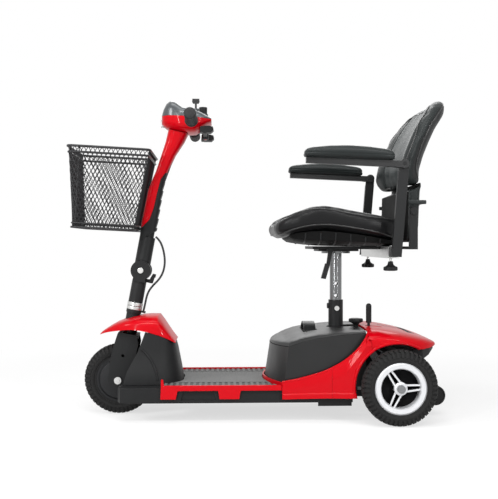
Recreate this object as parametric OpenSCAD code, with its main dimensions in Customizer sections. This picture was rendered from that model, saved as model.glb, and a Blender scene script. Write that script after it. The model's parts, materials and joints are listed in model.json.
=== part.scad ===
// Three-wheel travel mobility scooter: welded frame, folding tiller, lift-out battery pack,
// transaxle drive and a swivelling padded seat.
// The front of the scooter points along -X, the rider's left along -Y, and the ground is Z = 0.

/* [Chassis] */
// Distance between the front and rear axles
wheelbase = 778; // [760:1:830]
// Front axle, measured from the middle of the whole scooter
front_axle_x = -403.2; // [-425:0.1:-390]
// Half the width of the deck pan
deck_half_w = 158; // [150:1:162]
// Height of the underside of the deck pan
deck_bottom_z = 56; // [50:1:60]
// Height of the deck pan's top plate
deck_top_z = 98; // [94:1:102]
// Wall of the moulded deck pan
deck_wall = 5; // [3:0.5:6]
// Height of the ribs and the smooth panel of the floor mat above the pan
mat_t = 5; // [3:0.5:8]
// Spacing of the mat's ribs
rib_pitch = 16; // [10:0.5:20]
// Width of the central box beam of the frame
spine_w = 60; // [40:1:70]
// Thickness of the red side trims
trim_t = 8; // [5:0.5:9]

/* [Wheels] */
// Diameter of the front tyre
front_tyre_d = 203; // [190:1:208]
// Diameter of the rear tyres
rear_tyre_d = 207; // [190:1:212]
// Width of the front tyre
front_tyre_w = 50; // [40:1:54]
// Width of the rear tyres
rear_tyre_w = 56; // [45:1:58]
// Middle of a rear tyre outboard of the deck's side
track_out = 45; // [42:1:57]
// Diameter of the rear rims
rear_rim_d = 141; // [130:1:150]
// Diameter of the front rim
front_rim_d = 140; // [130:1:146]
// Diameter of the front axle
front_axle_d = 12; // [10:0.5:14]
// Diameter of the driven rear axles
rear_axle_d = 17; // [15:0.5:19]
// Diameter of the anti-tip wheels
tip_wheel_d = 56; // [44:1:60]

/* [Steering] */
// Lean of the steering axis behind the vertical
rake = 10.5; // [8:0.5:12]
// Height of the tiller's fold pivot
pivot_z = 416; // [412:1:425]
// Fold pivot behind the front axle
pivot_x = 63; // [61:1:66]
// Diameter of the fork's steerer tube
steerer_d = 30; // [26:1:32]
// Outside diameter of the head tube
head_tube_d = 40; // [38:1:42]
// Diameter of the steering stem
stem_d = 42; // [38:1:46]
// Diameter of the visible lower part of the tiller tube
tiller_d = 46; // [42:1:48]
// Diameter of the tiller tube inside its covers
tiller_core_d = 36; // [30:1:37]
// Diameter of the round cheeks of the fold joint
knuckle_d = 58; // [52:1:60]
// Diameter of the fold pin
fold_pin_d = 10; // [8:0.5:14]
// Diameter of the handlebar tube
bar_d = 22; // [20:0.5:24]
// Half the length of the handlebar
bar_half = 232; // [220:1:245]
// Diameter of the rubber grips
grip_d = 33; // [30:0.5:36]
// Diameter of the control cable
cable_d = 6; // [5:0.5:7]

/* [Basket] */
// Half the width of the basket at its rim
basket_half_w = 132; // [120:1:145]
// Depth of the basket at its rim
basket_top_l = 228; // [210:1:235]
// Depth of the basket at its floor
basket_floor_l = 175.5; // [150:0.5:185]
// Height of the basket
basket_h = 221; // [195:1:225]
// Diameter of the rim rod
basket_rod_d = 7; // [5:0.5:8]

/* [Battery pack] */
// Side of the battery pack inboard of the deck's side
pack_inset = 2; // [1:0.5:8]
// Height at which the lid sits on the front of the case
pack_split_z = 205; // [195:1:210]
// Wall of the case
pack_wall = 4; // [3:0.5:6]

/* [Seat] */
// Seat post behind the front axle, as a distance ahead of the rear axle
post_setback = 144; // [140:1:148]
// Diameter of the seat post
post_d = 35; // [32:0.5:37]
// Outside diameter of the seat post's socket
socket_d = 43; // [41:0.5:46]
// Height of the top of the socket
socket_top_z = 329; // [320:1:340]
// Spacing of the height holes in the post
post_hole_pitch = 36; // [30:1:40]
// Height of the underside of the seat pan
seat_z = 486; // [480:1:500]
// Half the width of the seat cushion
cushion_half_w = 213; // [205:1:216]
// Half the width of the backrest
back_half_w = 205; // [195:1:207]
// Distance from the centre line to the middle of an armrest
arm_half = 240; // [238:1:250]
// Length of an armrest pad
arm_pad_l = 240; // [220:1:250]
// Width of an armrest pad
arm_pad_w = 54; // [44:1:56]
// Size of the square tube that carries an armrest
arm_leg_w = 22; // [18:1:24]

/* [Fits] */
// Running clearance on a radius
run_gap = 0.05; // [0.03:0.01:0.08]
// Gap between mouldings that sit against each other
seam = 0.5; // [0.4:0.1:1]

/* [Hidden] */
$fn = 48;
rear_axle_x = front_axle_x + wheelbase;
front_axle_z = front_tyre_d / 2;
rear_axle_z = rear_tyre_d / 2;
post_x = rear_axle_x - post_setback;
// Steering parts, measured along the steering axis down from the fold pivot
knuckle_r = knuckle_d / 2;
tongue_r = knuckle_r - 2;
ring_top_s = -94.5;
head_top_s = -126;
head_bottom_s = -182;
crown_top_s = head_bottom_s - 3;
crown_t = 16;
ear_u = 27;
ear_top_s = -116;
tongue_half = 13.6;
cheek_in = 14;
cheek_out = 26;
bend_s = 238;
bend_angle = 10;
steer_limit = 40;
// Head of the tiller, from the front axle
// Handlebar: height, and distance behind the axis of the tube under it
handle_z = 838;
handle_back = 36.343;
handle_x = tube_at(handle_z) + handle_back;
// Length of the tube above the bend
tube_l = (handle_z - pivot_z - bend_s * cos(rake)) / cos(rake + bend_angle);
// Places and heights in the head, from the middle of the handlebar
split_z = 24;
split_slope = 0.076;
key_x = 10;
key_y = -28;
dial_x = 30;
dial_y = 28;
horn_x = -13;
horn_y = 40;
boss_z = 46;
dial_boss_z = 39;
paddle_x = 37;
lens_z = 8;
lens_d = 27;
// Basket, from the front axle, before it is tipped nose up about its rear lower edge
basket_rim_x = -140.5;
basket_floor_x = -121;
basket_floor_z = 530;
basket_tilt = 3;
basket_rear_x = basket_floor_x + basket_floor_l;
basket_rear_a = atan((basket_rim_x + basket_top_l - basket_rear_x) / basket_h);
basket_floor_half = basket_half_w - 8;
net_t = 2;
bracket_levels = [560, 654];
bracket_h = 12;
// Deck
mat_front_x = front_axle_x + 134;
mat_rear_x = rear_axle_x - 316;
deck_rear_x = rear_axle_x - 119;
spine_top_z = deck_top_z - deck_wall - 0.4;
spine_bottom_z = deck_bottom_z + 6;
trim_in = deck_half_w + 0.3;
shroud_in = deck_half_w + 2.5;
rear_track_half = deck_half_w + track_out;
pack_half_w = deck_half_w - pack_inset;
// Battery pack, from the rear axle
pack_bottom_z = deck_top_z + 0.5;
pack_top_z = pack_split_z + 45;
pack_corner = -309;
pack_lean = 16;
handle_base_z = pack_top_z - 10;
notch_r = socket_d / 2 + 6.5;
cell_x0 = -312;
cell_l = 128;
cell_w = 70;
cell_h = 88;
knob_pos_x = -93;
knob_pos_y = -52;
// Rear end
arch_r = rear_tyre_d / 2 + 12;
skirt_front = -315;
skirt_seam = -179;
gear_r = 40;
tube_r = 17;
axle_tube_half = rear_track_half - 45;
beam_z = spine_bottom_z - 16;
tip_x = rear_axle_x + 130;
tip_z = 60;
tip_y = 82;
lever_x = rear_axle_x - 57;
lever_y = -60;
lever_z = 200;
// Seat
leg_x = 127;
leg_z = seat_z - 17;
hinge_x = 148;
hinge_z = seat_z + 220;
arm_tilt = 2;
arm_bar_top = 7;
fold_x = 186;
fold_z = seat_z + 97;
bracket_in = 181;
arm_knob_y = 168;
back_wrap = 22;
swivel_x = -37;
swivel_y = -88;
plate_t = 8;
flange_top_z = seat_z - plate_t - 6.3;

// Stations of the front cowl: behind the front axle, top, lower edge, half width
COWL = [
    [-56, 232, 229, 6], [-48, 240, 233, 20], [-38, 247, 237, 33], [-24, 256, 241, 48], [-4, 267, 245, 64],
    [20, 276, 249, 78], [45, 283, 250, 86], [66, 286.5, 248.5, 90], [92, 288, 243, 91],
    [116, 288, 235.5, 89],
    [128, 272, 231, 86], [142, 250, 224.5, 81], [154, 231.5, 218, 76], [166, 214, 211, 70]
];
cowl_low = [for (row = COWL) [row[0], row[2]]];
// Levels of the leg shield: height, front edge, rear face, half width
SHIELD = [[98.3, 24, 188, 118], [116, 27, 185, 116], [135, 33, 182, 111], [160, 46, 177, 102],
    [190, 62, 171, 94]];
// Stations of the rear hood, from the rear axle: top, lower edge, side beyond the deck's side
HOOD = [
    [-78, 258, 204, 20], [-56, 258, 204, 26], [-28, 255, 204, 30], [0, 251, 204, 32], [26, 246, 203.5, 30],
    [49, 241, 203, 24], [73, 235, 203, 12], [95, 228, 204, -8], [112, 222, 206, -30], [122, 217, 208, -48]
];
hood_low = [for (row = HOOD) [row[0], row[2]]];
// Stations of the side skirts, from the rear axle: lower edge, fold, upper edge,
// outer face low and high beyond the deck's side
SKIRT = [
    [skirt_front, 67, 93, 113, 9, 8.5], [-278, 68, 97, 119.5, 9.5, 8.5], [-236, 69, 106, 130, 11, 9],
    [-196, 70, 121, 143, 14, 10], [-158, 70.5, 136, 162, 19, 12], [-138, 70.5, 144, 175.5, 22, 14],
    [-122, 71, 167, 189, 25, 16], [-104, 71, 190, 207.5, 27, 19], [-86, 71, 214, 233, 27, 20],
    [-72, 71, 216, 252, 26, 20]
];
// Stations of the battery pack, from the rear axle: half width as a share, upper edge over the split,
// crown of the lid
PACK = [
    [-355, 0.05, 1, 6], [-351, 0.28, 1, 8], [-343.5, 0.5, 1.5, 10], [-334, 0.68, 2, 12],
    [-322.5, 0.84, 3, 13],
    [pack_corner, 1, 4.5, 14], [-290, 1, 9.5, 15], [-258, 1, 17.5, 15], [-215, 1, 27, 13.5],
    [-154, 1, 35.5, 10.5], [-82, 1, 41, 7]
];
// Levels of the tiller sleeve below the bend: height, front, rear, half width
SLEEVE_LOW = [[505, 57.2, 103, 23.6], [545, 62.5, 110.5, 25], [600, 73, 119, 26], [651, 83.5, 128, 26.5]];
// Levels of the sleeve above the bend: share of the way to its top, front and rear from the tube's axis,
// half width
SLEEVE_HIGH = [
    [0.16, -22.6, 16.4, 27], [0.29, -20.8, 14.8, 28], [0.55, -22.8, 19.2, 31], [0.77, -24.7, 30.4, 36],
    [0.885, -27.6, 32.5, 41], [1, -30.5, 31.5, 46]
];
sleeve_top_z = handle_z - 6;
SLEEVE = concat(SLEEVE_LOW, [for (row = SLEEVE_HIGH) let (z = 651 + row[0] * (sleeve_top_z - 651))
    [z, tube_at(z) + row[1], tube_at(z) + row[2], row[3]]]);
// Stations of the tiller head, from the middle of the handlebar: bottom of the shell, top of the console,
// half width
HEAD = [
    [-88, 1, 28, 27], [-83, -4, 46, 38], [-75, -10, 61, 50], [-63, -14.5, 69.5, 60], [-49, -18.5, 67, 66],
    [-29, -22.5, 51, 70], [-9, -24, 46, 72], [9, -23, 42, 70], [27, -11, 34.5, 65], [43, 0, 25, 57],
    [55, 7, 18, 47]
];
// Stations of the seat cushion, from the seat post: top of the side and underside over the seat plate,
// half width
// as a share
CUSHION = [
    [-195, 57, 43, 0.55], [-190, 66, 31, 0.7], [-182, 74, 25, 0.8], [-168, 83, 28.5, 0.88],
    [-148, 94, 33.5, 0.935], [-125, 105, 38, 0.97], [-95, 115, 41.5, 0.99], [-58, 118.5, 42.5, 1],
    [-18, 112, 39.5, 1], [30, 102.5, 34, 0.995], [78, 94, 26.5, 0.98], [118, 87, 19, 0.945],
    [142, 80, 15.5, 0.89], [153, 67, 22, 0.82]
];
cushion_low = [for (row = CUSHION) [row[0], row[2]]];
// Levels of the backrest cushion: height over the seat plate, front, rear, half width as a share
BACK = [
    [169, 178, 196, 0.76], [174, 169, 205, 0.87], [186, 164.5, 210, 0.945], [214, 167, 215, 0.985],
    [254, 178, 226, 1], [294, 194, 242, 0.995], [332, 212, 259, 0.97], [362, 230, 278, 0.92],
    [386, 247, 293, 0.83], [402, 259, 301, 0.71], [412, 268, 304, 0.56], [417.5, 277, 301, 0.38]
];
// Levels of the backrest shell: height over the seat plate, front, rear, half width
BACK_SHELL = [
    [12, 174, 200, 138], [17, 168, 206, 154], [28, 165, 209, 166], [59, 164, 211, 173],
    [114, 164.5, 212.5, 176], [150, 165.5, 214, 178], [164, 206, 214.5, 179], [186, 211, 218, 180],
    [214, 216, 222.5, 182], [254, 227, 233.5, 184], [294, 243, 249.5, 183], [332, 260, 267, 178],
    [362, 279.5, 286.5, 168], [382, 292, 299, 154], [394, 299.5, 306, 140]
];
// Route of the control cable, behind the front axle and up from the ground
CABLE = [
    [104.8, 514], [112, 507], [120, 495], [126, 478], [130, 458], [131, 438], [128, 418], [121.5, 401],
    [111, 386],
    [97.5, 372], [86, 357], [79, 341], [75, 324], [71.7, 309], [68.9, 297.4]
];

// Axis of the tiller tube above its bend, behind the front axle
function tube_at(z) = pivot_x + bend_s * sin(rake) + (z - pivot_z - bend_s * cos(rake)) *
    tan(rake + bend_angle);
function spow(v, e) = sign(v) * pow(abs(v), e);
// Closed oval loop; e = 1 is an ellipse and smaller values are squarer
function ring(n, a, b, e) = [for (i = [0:n - 1]) let (t = (i + 0.5) * 360 / n)
    [a * spow(cos(t), e), b * spow(sin(t), e)]];
// Open arch from -a over height b to +a
function arch(k, a, b, e) = [for (i = [0:k - 1]) let (t = 180 * i / (k - 1))
    [-a * spow(cos(t), e), b * spow(sin(t), e)]];
function backwards(list) = [for (i = [len(list) - 1:-1:0]) list[i]];
// Arch with a wall: the outer line and the inner line as one closed loop
function arch_wall(k, a, b, e, wall) = concat(
    arch(k, a, b, e), backwards(arch(k, max(a - wall, 0.4 * a), max(b - wall, 0.4 * b), e)));
// Arch closed by a straight base
function arch_closed(k, a, b, e) = let (line = arch(k, a, b, e))
    concat(line, [for (p = backwards(line)) [p[0], 0]]);

function loft_faces(n, m) = concat(
    [for (i = [0:m - 2], j = [0:n - 1]) let (a = i * n + j, b = i * n + (j + 1) % n)
        each [[a, b, b + n], [a, b + n, a + n]]],
    [for (i = [0:n / 2 - 2]) each [[n - 1 - i, n - 2 - i, i + 1], [n - 1 - i, i + 1, i]]],
    [for (i = [0:n / 2 - 2]) let (o = (m - 1) * n)
        each [[o + i, o + i + 1, o + n - 2 - i], [o + i, o + n - 2 - i, o + n - 1 - i]]]
);
function swept_volume(points, faces) = [for (f = faces) points[f[0]] * cross(points[f[1]], points[f[2]])] *
    [for (f = faces) 1];

// Solid skinned over a row of closed loops
module loft(loops) {
    points = [for (loop = loops) each loop];
    faces = loft_faces(len(loops[0]), len(loops));
    turned = swept_volume(points, faces) > 0;
    polyhedron(points, [for (f = faces) turned ? [f[2], f[1], f[0]] : f]);
}

module from_front() { translate([front_axle_x, 0, 0]) children(); }
module from_rear() { translate([rear_axle_x, 0, 0]) children(); }
module from_post() { translate([post_x, 0, 0]) children(); }
// Frame on the steering axis with its origin at the fold pivot
module on_stem() { translate([front_axle_x + pivot_x, 0, pivot_z]) rotate([0, rake, 0]) children(); }
// Frame at the middle of the handlebar
module on_head() { translate([front_axle_x + handle_x, 0, handle_z]) children(); }
module on_bend() { on_stem() translate([0, 0, bend_s]) rotate([0, bend_angle, 0]) children(); }
module both_sides() { children(); mirror([0, 1, 0]) children(); }
// Cylinder along Y between two places
module bar_y(r, y0, y1) { translate([0, y0, 0]) rotate([-90, 0, 0]) cylinder(r = r, h = y1 - y0); }
// Cylinder along X between two places
module bar_x(r, x0, x1) { translate([x0, 0, 0]) rotate([0, 90, 0]) cylinder(r = r, h = x1 - x0); }
// Outline in X and Z given a thickness between two places along Y
module plate_y(y0, y1) { translate([0, y1, 0]) rotate([90, 0, 0]) linear_extrude(y1 - y0) children(); }
module box(x0, x1, y0, y1, z0, z1) { translate([x0, y0, z0]) cube([x1 - x0, y1 - y0, z1 - z0]); }

// Chassis

module main_frame() {
    color("#202124") {
        difference() {
            union() {
                on_stem() translate([0, 0, head_bottom_s])
                    cylinder(d = head_tube_d, h = head_top_s - head_bottom_s);
                from_front() plate_y(-20, 20) polygon([
                    [40, 246], [40, 270], [110, 270], [138, 232], [146, 190], [150, spine_bottom_z + 2],
                    [116, spine_bottom_z + 2], [116, 236], [106, 246]]);
            }
            on_stem() translate([0, 0, head_bottom_s - 1])
                cylinder(d = steerer_d + 2 * run_gap, h = head_top_s - head_bottom_s + 2);
        }
        box(front_axle_x + 116, rear_axle_x - 84, -spine_w / 2, spine_w / 2, spine_bottom_z, spine_top_z);
        for (x = [front_axle_x + 190, rear_axle_x - 300])
            box(x, x + 26, 6 - deck_half_w, deck_half_w - 6, spine_top_z - 20, spine_top_z);
        box(rear_axle_x - 124, tip_x, -20, 20, beam_z, spine_bottom_z + 1);
        translate([tip_x, 0, tip_z]) bar_y(13, -20, 20);
        translate([tip_x, 0, tip_z]) bar_y(5, -tip_y - 14, tip_y + 14);
        translate([tip_x, 0, tip_z]) both_sides() bar_y(9, 18, tip_y - 12.5);
    }
}

module deck_pan() {
    color("#1b1c1e") difference() {
        union() {
            translate([0, 0, deck_bottom_z]) linear_extrude(deck_top_z - deck_bottom_z) polygon([
                [front_axle_x + 10, -106], [front_axle_x + 10, -128], [front_axle_x + 18, 10 - deck_half_w],
                [front_axle_x + 36, 2 - deck_half_w], [front_axle_x + 60, -deck_half_w],
                [deck_rear_x, -deck_half_w],
                [deck_rear_x, deck_half_w], [front_axle_x + 60, deck_half_w],
                [front_axle_x + 36, deck_half_w - 2],
                [front_axle_x + 18, deck_half_w - 10], [front_axle_x + 10, 128], [front_axle_x + 10, 106],
                [front_axle_x + 108, 106], [front_axle_x + 122, 80], [front_axle_x + 122, -80],
                [front_axle_x + 108, -106]]);
            both_sides() box(rear_axle_x - 215, deck_rear_x - 3, 128, deck_half_w, deck_bottom_z - 10,
                deck_bottom_z + 1);
        }
        box(front_axle_x + 127, deck_rear_x - deck_wall, deck_wall - deck_half_w, deck_half_w - deck_wall,
            deck_bottom_z - 20, deck_top_z - deck_wall);
        box(front_axle_x + 100, front_axle_x + 156, -spine_w / 2 - 2, spine_w / 2 + 2, deck_bottom_z - 20,
            deck_top_z + 1);
        box(deck_rear_x - 20, deck_rear_x + 1, -spine_w / 2 - 2, spine_w / 2 + 2, deck_bottom_z - 20,
            deck_top_z - deck_wall);
        translate([post_x, 0, deck_bottom_z]) cylinder(d = socket_d + 3, h = 60);
        from_front() both_sides() plate_y(deck_half_w - 4, deck_half_w + 1) polygon([
            [186, deck_bottom_z + 8], [282, deck_bottom_z + 8], [274, deck_top_z - 8],
            [192, deck_top_z - 8]]);
    }
}

// Plan of the battery pack's front with room around it, from the rear axle
function pack_front(grow) = concat(
    [for (row = backwards(PACK)) if (row[0] <= pack_corner)
        [row[0] - grow, -row[1] * (pack_half_w + grow)]],
    [for (row = PACK) if (row[0] <= pack_corner) [row[0] - grow, row[1] * (pack_half_w + grow)]]);

// Plan of the leg shield's foot with room around it, from the front axle
function shield_foot(grow) = let (row = SHIELD[0]) concat(
    [for (p = arch(21, row[3] + grow, row[2] - row[1] + grow, 0.62)) [row[1] + p[1], p[0]]]);

module deck_mat() {
    panel_half = 92;
    color("#3b3d41") difference() {
        union() {
            box(mat_front_x, mat_rear_x + 50, 0.5 - deck_half_w, deck_half_w - 0.5, deck_top_z,
                deck_top_z + mat_t - 2);
            box(mat_front_x, mat_rear_x + 50, -panel_half, panel_half, deck_top_z, deck_top_z + mat_t);
            both_sides() for (x = [mat_front_x + 4:rib_pitch:mat_rear_x + 2])
                box(x, x + rib_pitch / 2, panel_half + 6, deck_half_w - 4, deck_top_z, deck_top_z + mat_t);
        }
        translate([rear_axle_x, 0, deck_top_z - 1]) linear_extrude(20)
            polygon(concat(pack_front(7), [[-200, 200], [-200, -200]]));
        box(mat_rear_x, mat_rear_x + 60, -200, 200, deck_top_z - 1, deck_top_z + 20);
        translate([front_axle_x, 0, deck_top_z - 1]) linear_extrude(20) polygon(shield_foot(2));
    }
}

module deck_trims() {
    low = deck_top_z - 30;
    band = deck_top_z - 7;
    high = deck_top_z + 8;
    tab_x = front_axle_x + 0.51 * (mat_rear_x - mat_front_x) + 134;
    color("#b3121d") both_sides() plate_y(trim_in, trim_in + trim_t) polygon([
        [mat_front_x - 4, low], [mat_front_x + 38, low], [mat_front_x + 43, band], [tab_x - 14, band],
        [tab_x - 10, low],
        [tab_x + 44, low], [tab_x + 48, band], [mat_rear_x, band], [mat_rear_x, high],
        [mat_front_x + 22, high],
        [mat_front_x + 10, high + 16], [mat_front_x - 2, high + 17]]);
}

module front_cowl() {
    color("#b3121d") from_front() difference() {
        loft([for (row = COWL) [for (p = arch_wall(17, row[3], row[1] - row[2], 0.55, 3.5))
            [row[0], p[0], row[2] + p[1]]]]);
        translate([pivot_x, 0, pivot_z]) rotate([0, rake, 0]) translate([0, 0, -180])
            cylinder(r = head_tube_d / 2 + 4, h = 80);
    }
}

module leg_shield() {
    top = [for (p = arch_wall(17, 89, 83, 0.62, 4)) let (x = 82 + p[1])
        [x, p[0], lookup(x, cowl_low) - 0.7]];
    color("#1b1c1e") from_front() loft(concat(
        [for (row = SHIELD) [for (p = arch_wall(17, row[3], row[2] - row[1], 0.62, 4))
            [row[1] + p[1], p[0], row[0]]]], [top]));
}

// Wall of the right skirt: a ledge along the foot, a wall that swells to the fold and a band that leans in
// above it
module skirt(inset) {
    t = 5;
    ledge = 12;
    step = 2.5;
    loft([for (row = SKIRT) let (
        x = row[0], z0 = row[1], zf = row[2], z1 = row[3], low = deck_half_w + row[4] - inset,
        high = deck_half_w + row[5] - inset)
        [[x, low + step, z0], [x, low + step, z0 + ledge], [x, low, z0 + ledge + 3], [x, low + 1.5, zf],
            [x, high, z1],
         [x, high - t, z1], [x, low + 1.5 - t, zf], [x, low - t, z0 + ledge + 3],
         [x, low + step - t, z0 + ledge],
         [x, low + step - t, z0]]]);
}

module rear_shroud() {
    lip = skirt_front + 9;
    color("#b3121d") from_rear() difference() {
        union() {
            loft([for (row = HOOD)
                [for (p = arch_wall(19, deck_half_w + row[3], row[1] - row[2], 0.45, 4))
                    [row[0], p[0], row[2] + p[1]]]]);
            both_sides() difference() {
                skirt(0);
                difference() {
                    box(skirt_seam, skirt_seam + 1.4, deck_half_w, deck_half_w + 40, 60, 170);
                    skirt(1.3);
                }
            }
            translate([0, 0, deck_top_z + 0.3]) linear_extrude(13) polygon(concat(
                [[lip, -shroud_in - 2.5], [skirt_front, -shroud_in - 2.5]], pack_front(5),
                [[skirt_front, shroud_in + 2.5], [lip, shroud_in + 2.5], [lip, pack_half_w + 1]],
                backwards(pack_front(1)), [[lip, -pack_half_w - 1]]));
        }
        both_sides() translate([0, shroud_in - 6, rear_axle_z]) bar_y(arch_r, 0, 60);
        translate([lever_x - rear_axle_x - 10, lever_y - 8, 230]) cube([48, 16, 60]);
        translate([-20, 4, 251.5]) rotate([0, 10.9, 0]) cube([84, 10, 20]);
    }
}

module rear_bumper() {
    stations = [[49, 174, 4], [73, 174, 7], [95, 185, -12], [112, 200, -34]];
    color("#1b1c1e") from_rear() loft([for (row = stations) let (
        x = row[0], w = deck_half_w + row[2], top = lookup(x, hood_low) - 0.8)
        [[x, -w, row[1]], [x, w, row[1]], [x, w, top], [x, -w, top]]]);
}

module seat_socket() {
    color("#202124") translate([post_x, 0, 0]) difference() {
        union() {
            translate([0, 0, spine_top_z]) cylinder(d = socket_d, h = socket_top_z - spine_top_z);
            translate([0, 0, socket_top_z - 18]) bar_x(8, -socket_d / 2 - 4, -socket_d / 2 + 3);
        }
        translate([0, 0, spine_top_z - 1]) cylinder(d = post_d + 2 * run_gap, h = 400);
        translate([0, 0, socket_top_z - 24]) bar_y(4.3, -40, 40);
    }
}

module drive_motor() {
    color("#2a2b2e") translate([rear_axle_x, 0, rear_axle_z + 6]) {
        bar_x(35, 50.3, 108);
        bar_x(29, 108, 122);
    }
}

module transaxle() {
    color("#8d9094") difference() {
        union() {
            translate([rear_axle_x, 0, rear_axle_z]) {
                bar_y(gear_r, -46, 46);
                both_sides() bar_y(tube_r, 40, axle_tube_half);
                bar_x(31, 0, 50);
            }
            box(rear_axle_x - 83.8, rear_axle_x - 20, -24, 24, spine_bottom_z + 4, rear_axle_z + 12);
            translate([lever_x, 0, lever_z]) bar_y(4, lever_y + 2, lever_y + 12);
            plate_y(lever_y + 6, lever_y + 12) polygon([
                [lever_x - 9, lever_z - 4], [lever_x - 6, lever_z + 8], [lever_x + 6, lever_z + 8],
                [lever_x + 12, lever_z - 4],
                [rear_axle_x + 14, rear_axle_z + 4], [rear_axle_x - 16, rear_axle_z - 2]]);
            translate([lever_x, 0, lever_z]) bar_y(4, lever_y - 6, lever_y + 8);
        }
        translate([rear_axle_x, 0, rear_axle_z]) both_sides()
            bar_y(rear_axle_d / 2 + run_gap, 10, axle_tube_half + 1);
    }
}

// Cross bolts of the seat socket and the four bolts of the transaxle block
module frame_bolts() {
    bolt_z = socket_top_z - 24;
    color("#b9bcc0") {
        translate([post_x, 0, bolt_z]) both_sides() {
            bar_y(4, post_d / 2 + 0.6, socket_d / 2 + 3);
            bar_y(7, socket_d / 2 + 0.1, socket_d / 2 + 5);
        }
        for (x = [-72, -52], y = [-14, 14]) translate([rear_axle_x + x, y, rear_axle_z + 12])
            cylinder(r = 5, h = 4, $fn = 6);
    }
}

// Battery pack

function pack_x(row, z) = row[0] + pack_lean * max(0, min(1, (-264 - row[0]) / 60)) *
    (z - pack_bottom_z) / 105;

module pack_notch() {
    translate([post_x - rear_axle_x, 0, 0]) cylinder(r = notch_r, h = 300);
    translate([post_x - rear_axle_x, -notch_r, 0]) cube([200, 2 * notch_r, 300]);
}

module battery_case() {
    color("#26272a") from_rear() difference() {
        loft([for (row = PACK) let (w = row[1] * pack_half_w, z = pack_split_z + row[2]) [
            [pack_x(row, pack_bottom_z), -w, pack_bottom_z], [pack_x(row, pack_bottom_z), w, pack_bottom_z],
            [pack_x(row, z), w, z], [pack_x(row, z), -w, z]]]);
        pack_notch();
        box(cell_x0 - 0.5, cell_x0 + cell_l + 0.5, -cell_w - 4, cell_w + 4, pack_bottom_z + pack_wall, 300);
        translate([-250, 0, 178]) bar_y(8, pack_half_w - 22, pack_half_w + 1);
        translate([knob_pos_x, knob_pos_y, 220]) cylinder(r = 4.1, h = 60);
    }
}

module battery_lid() {
    color("#26272a") from_rear() difference() {
        loft([for (row = PACK) let (w = row[1] * pack_half_w, z = pack_split_z + row[2] + 0.4)
            [for (p = arch_closed(13, w, row[3], 0.4)) [pack_x(row, z + p[1]), p[0], z + p[1]]]]);
        pack_notch();
        translate([knob_pos_x, knob_pos_y, 220]) cylinder(r = 4.1, h = 60);
        translate([knob_pos_x, knob_pos_y, pack_top_z]) cylinder(r = 16, h = 20);
        box(-246, -206, -64, 64, handle_base_z - 0.3, 300);
    }
}

module battery_handle() {
    span = 54;
    rise = 26;
    r = (span * span + rise * rise) / (2 * rise);
    color("#3a3b3e") from_rear() translate([-243, 0, handle_base_z]) rotate([90, 0, 90])
        linear_extrude(34) {
        intersection() {
            difference() {
                translate([0, rise - r]) circle(r = r);
                translate([0, rise - r]) circle(r = r - 4.5);
            }
            translate([-span, 0]) square([2 * span, 2 * rise]);
        }
        for (side = [-1, 1]) translate([side * (span - 2) - 7, 0]) square([14, 3]);
    }
}

module battery_cells() {
    color("#4a4d55") from_rear() both_sides()
        box(cell_x0, cell_x0 + cell_l, 2, 2 + cell_w, pack_bottom_z + pack_wall + 0.3,
            pack_bottom_z + pack_wall + cell_h);
}

// Round hand knob with a stud below its underside at Z = 0
module hand_knob(d, h, stud) {
    difference() {
        union() {
            translate([0, 0, 12]) cylinder(d = d, h = h - 12);
            cylinder(r = 9, h = 13);
            translate([0, 0, -stud]) cylinder(r = 4, h = stud + 1);
        }
        for (a = [0:45:315]) rotate([0, 0, a]) translate([d / 2 + 3, 0, 11]) cylinder(r = 5.5, h = h);
    }
}

module lock_knob() {
    color("#1b1c1e") from_rear() translate([knob_pos_x, knob_pos_y, pack_top_z + 0.3])
        hand_knob(42, 28, 22);
}

// Front end

module fork() {
    blade_in = front_tyre_w / 2 + 12;
    color("#2b2c2f") difference() {
        union() {
            from_front() both_sides() plate_y(blade_in, blade_in + 8) union() {
                polygon([
                    [-1, 236], [54, 226], [58, 205], [50, 168], [28, front_axle_z + 2],
                    [-28, front_axle_z - 3],
                    [-24, 150], [-16, 190]]);
                translate([0, front_axle_z]) circle(r = 28);
            }
            on_stem() {
                translate([-29, -blade_in - 8, crown_top_s - crown_t])
                    cube([56, 2 * blade_in + 16, crown_t]);
                translate([0, 0, crown_top_s - 1]) cylinder(d = head_tube_d - 2, h = 3.6);
                translate([0, 0, crown_top_s - 1])
                    cylinder(d = steerer_d, h = ring_top_s + 24 - crown_top_s);
            }
        }
        translate([front_axle_x, 0, front_axle_z]) bar_y(front_axle_d / 2, -100, 100);
        translate([front_axle_x + 14, 0, 172]) bar_y(4.5, -100, 100);
    }
}

module steering_stem() {
    color("#232427") on_stem() {
        difference() {
            translate([0, 0, ring_top_s]) cylinder(d = stem_d, h = -ring_top_s - knuckle_r - 1);
            translate([0, 0, ring_top_s - 1]) cylinder(d = steerer_d, h = 25);
        }
        difference() {
            union() {
                bar_y(knuckle_r, -cheek_out, cheek_out);
                translate([-18, -cheek_out, -knuckle_r - 4]) cube([36, 2 * cheek_out, 20]);
                translate([10, -5, -knuckle_r - 3]) cube([27, 10, 10]);
                translate([33, 0, -knuckle_r + 2]) bar_y(3, -10, 10);
            }
            bar_y(tongue_r + 0.5, -cheek_in, cheek_in);
            translate([-60, -cheek_in, 0]) cube([120, 2 * cheek_in, 60]);
            translate([-60, -cheek_in, -6]) cube([120, 2 * cheek_in, 60]);
            bar_y(fold_pin_d / 2, -60, 60);
        }
        difference() {
            union() {
                translate([0, 0, head_top_s + 0.3])
                    cylinder(d = stem_d + 2, h = ear_top_s - head_top_s - 0.3);
                translate([14, -6, head_top_s + 4.5]) cube([ear_u - 7, 12, ear_top_s - head_top_s - 4.5]);
            }
            translate([0, 0, head_top_s - 1]) cylinder(d = steerer_d, h = 20);
        }
    }
}

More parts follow.
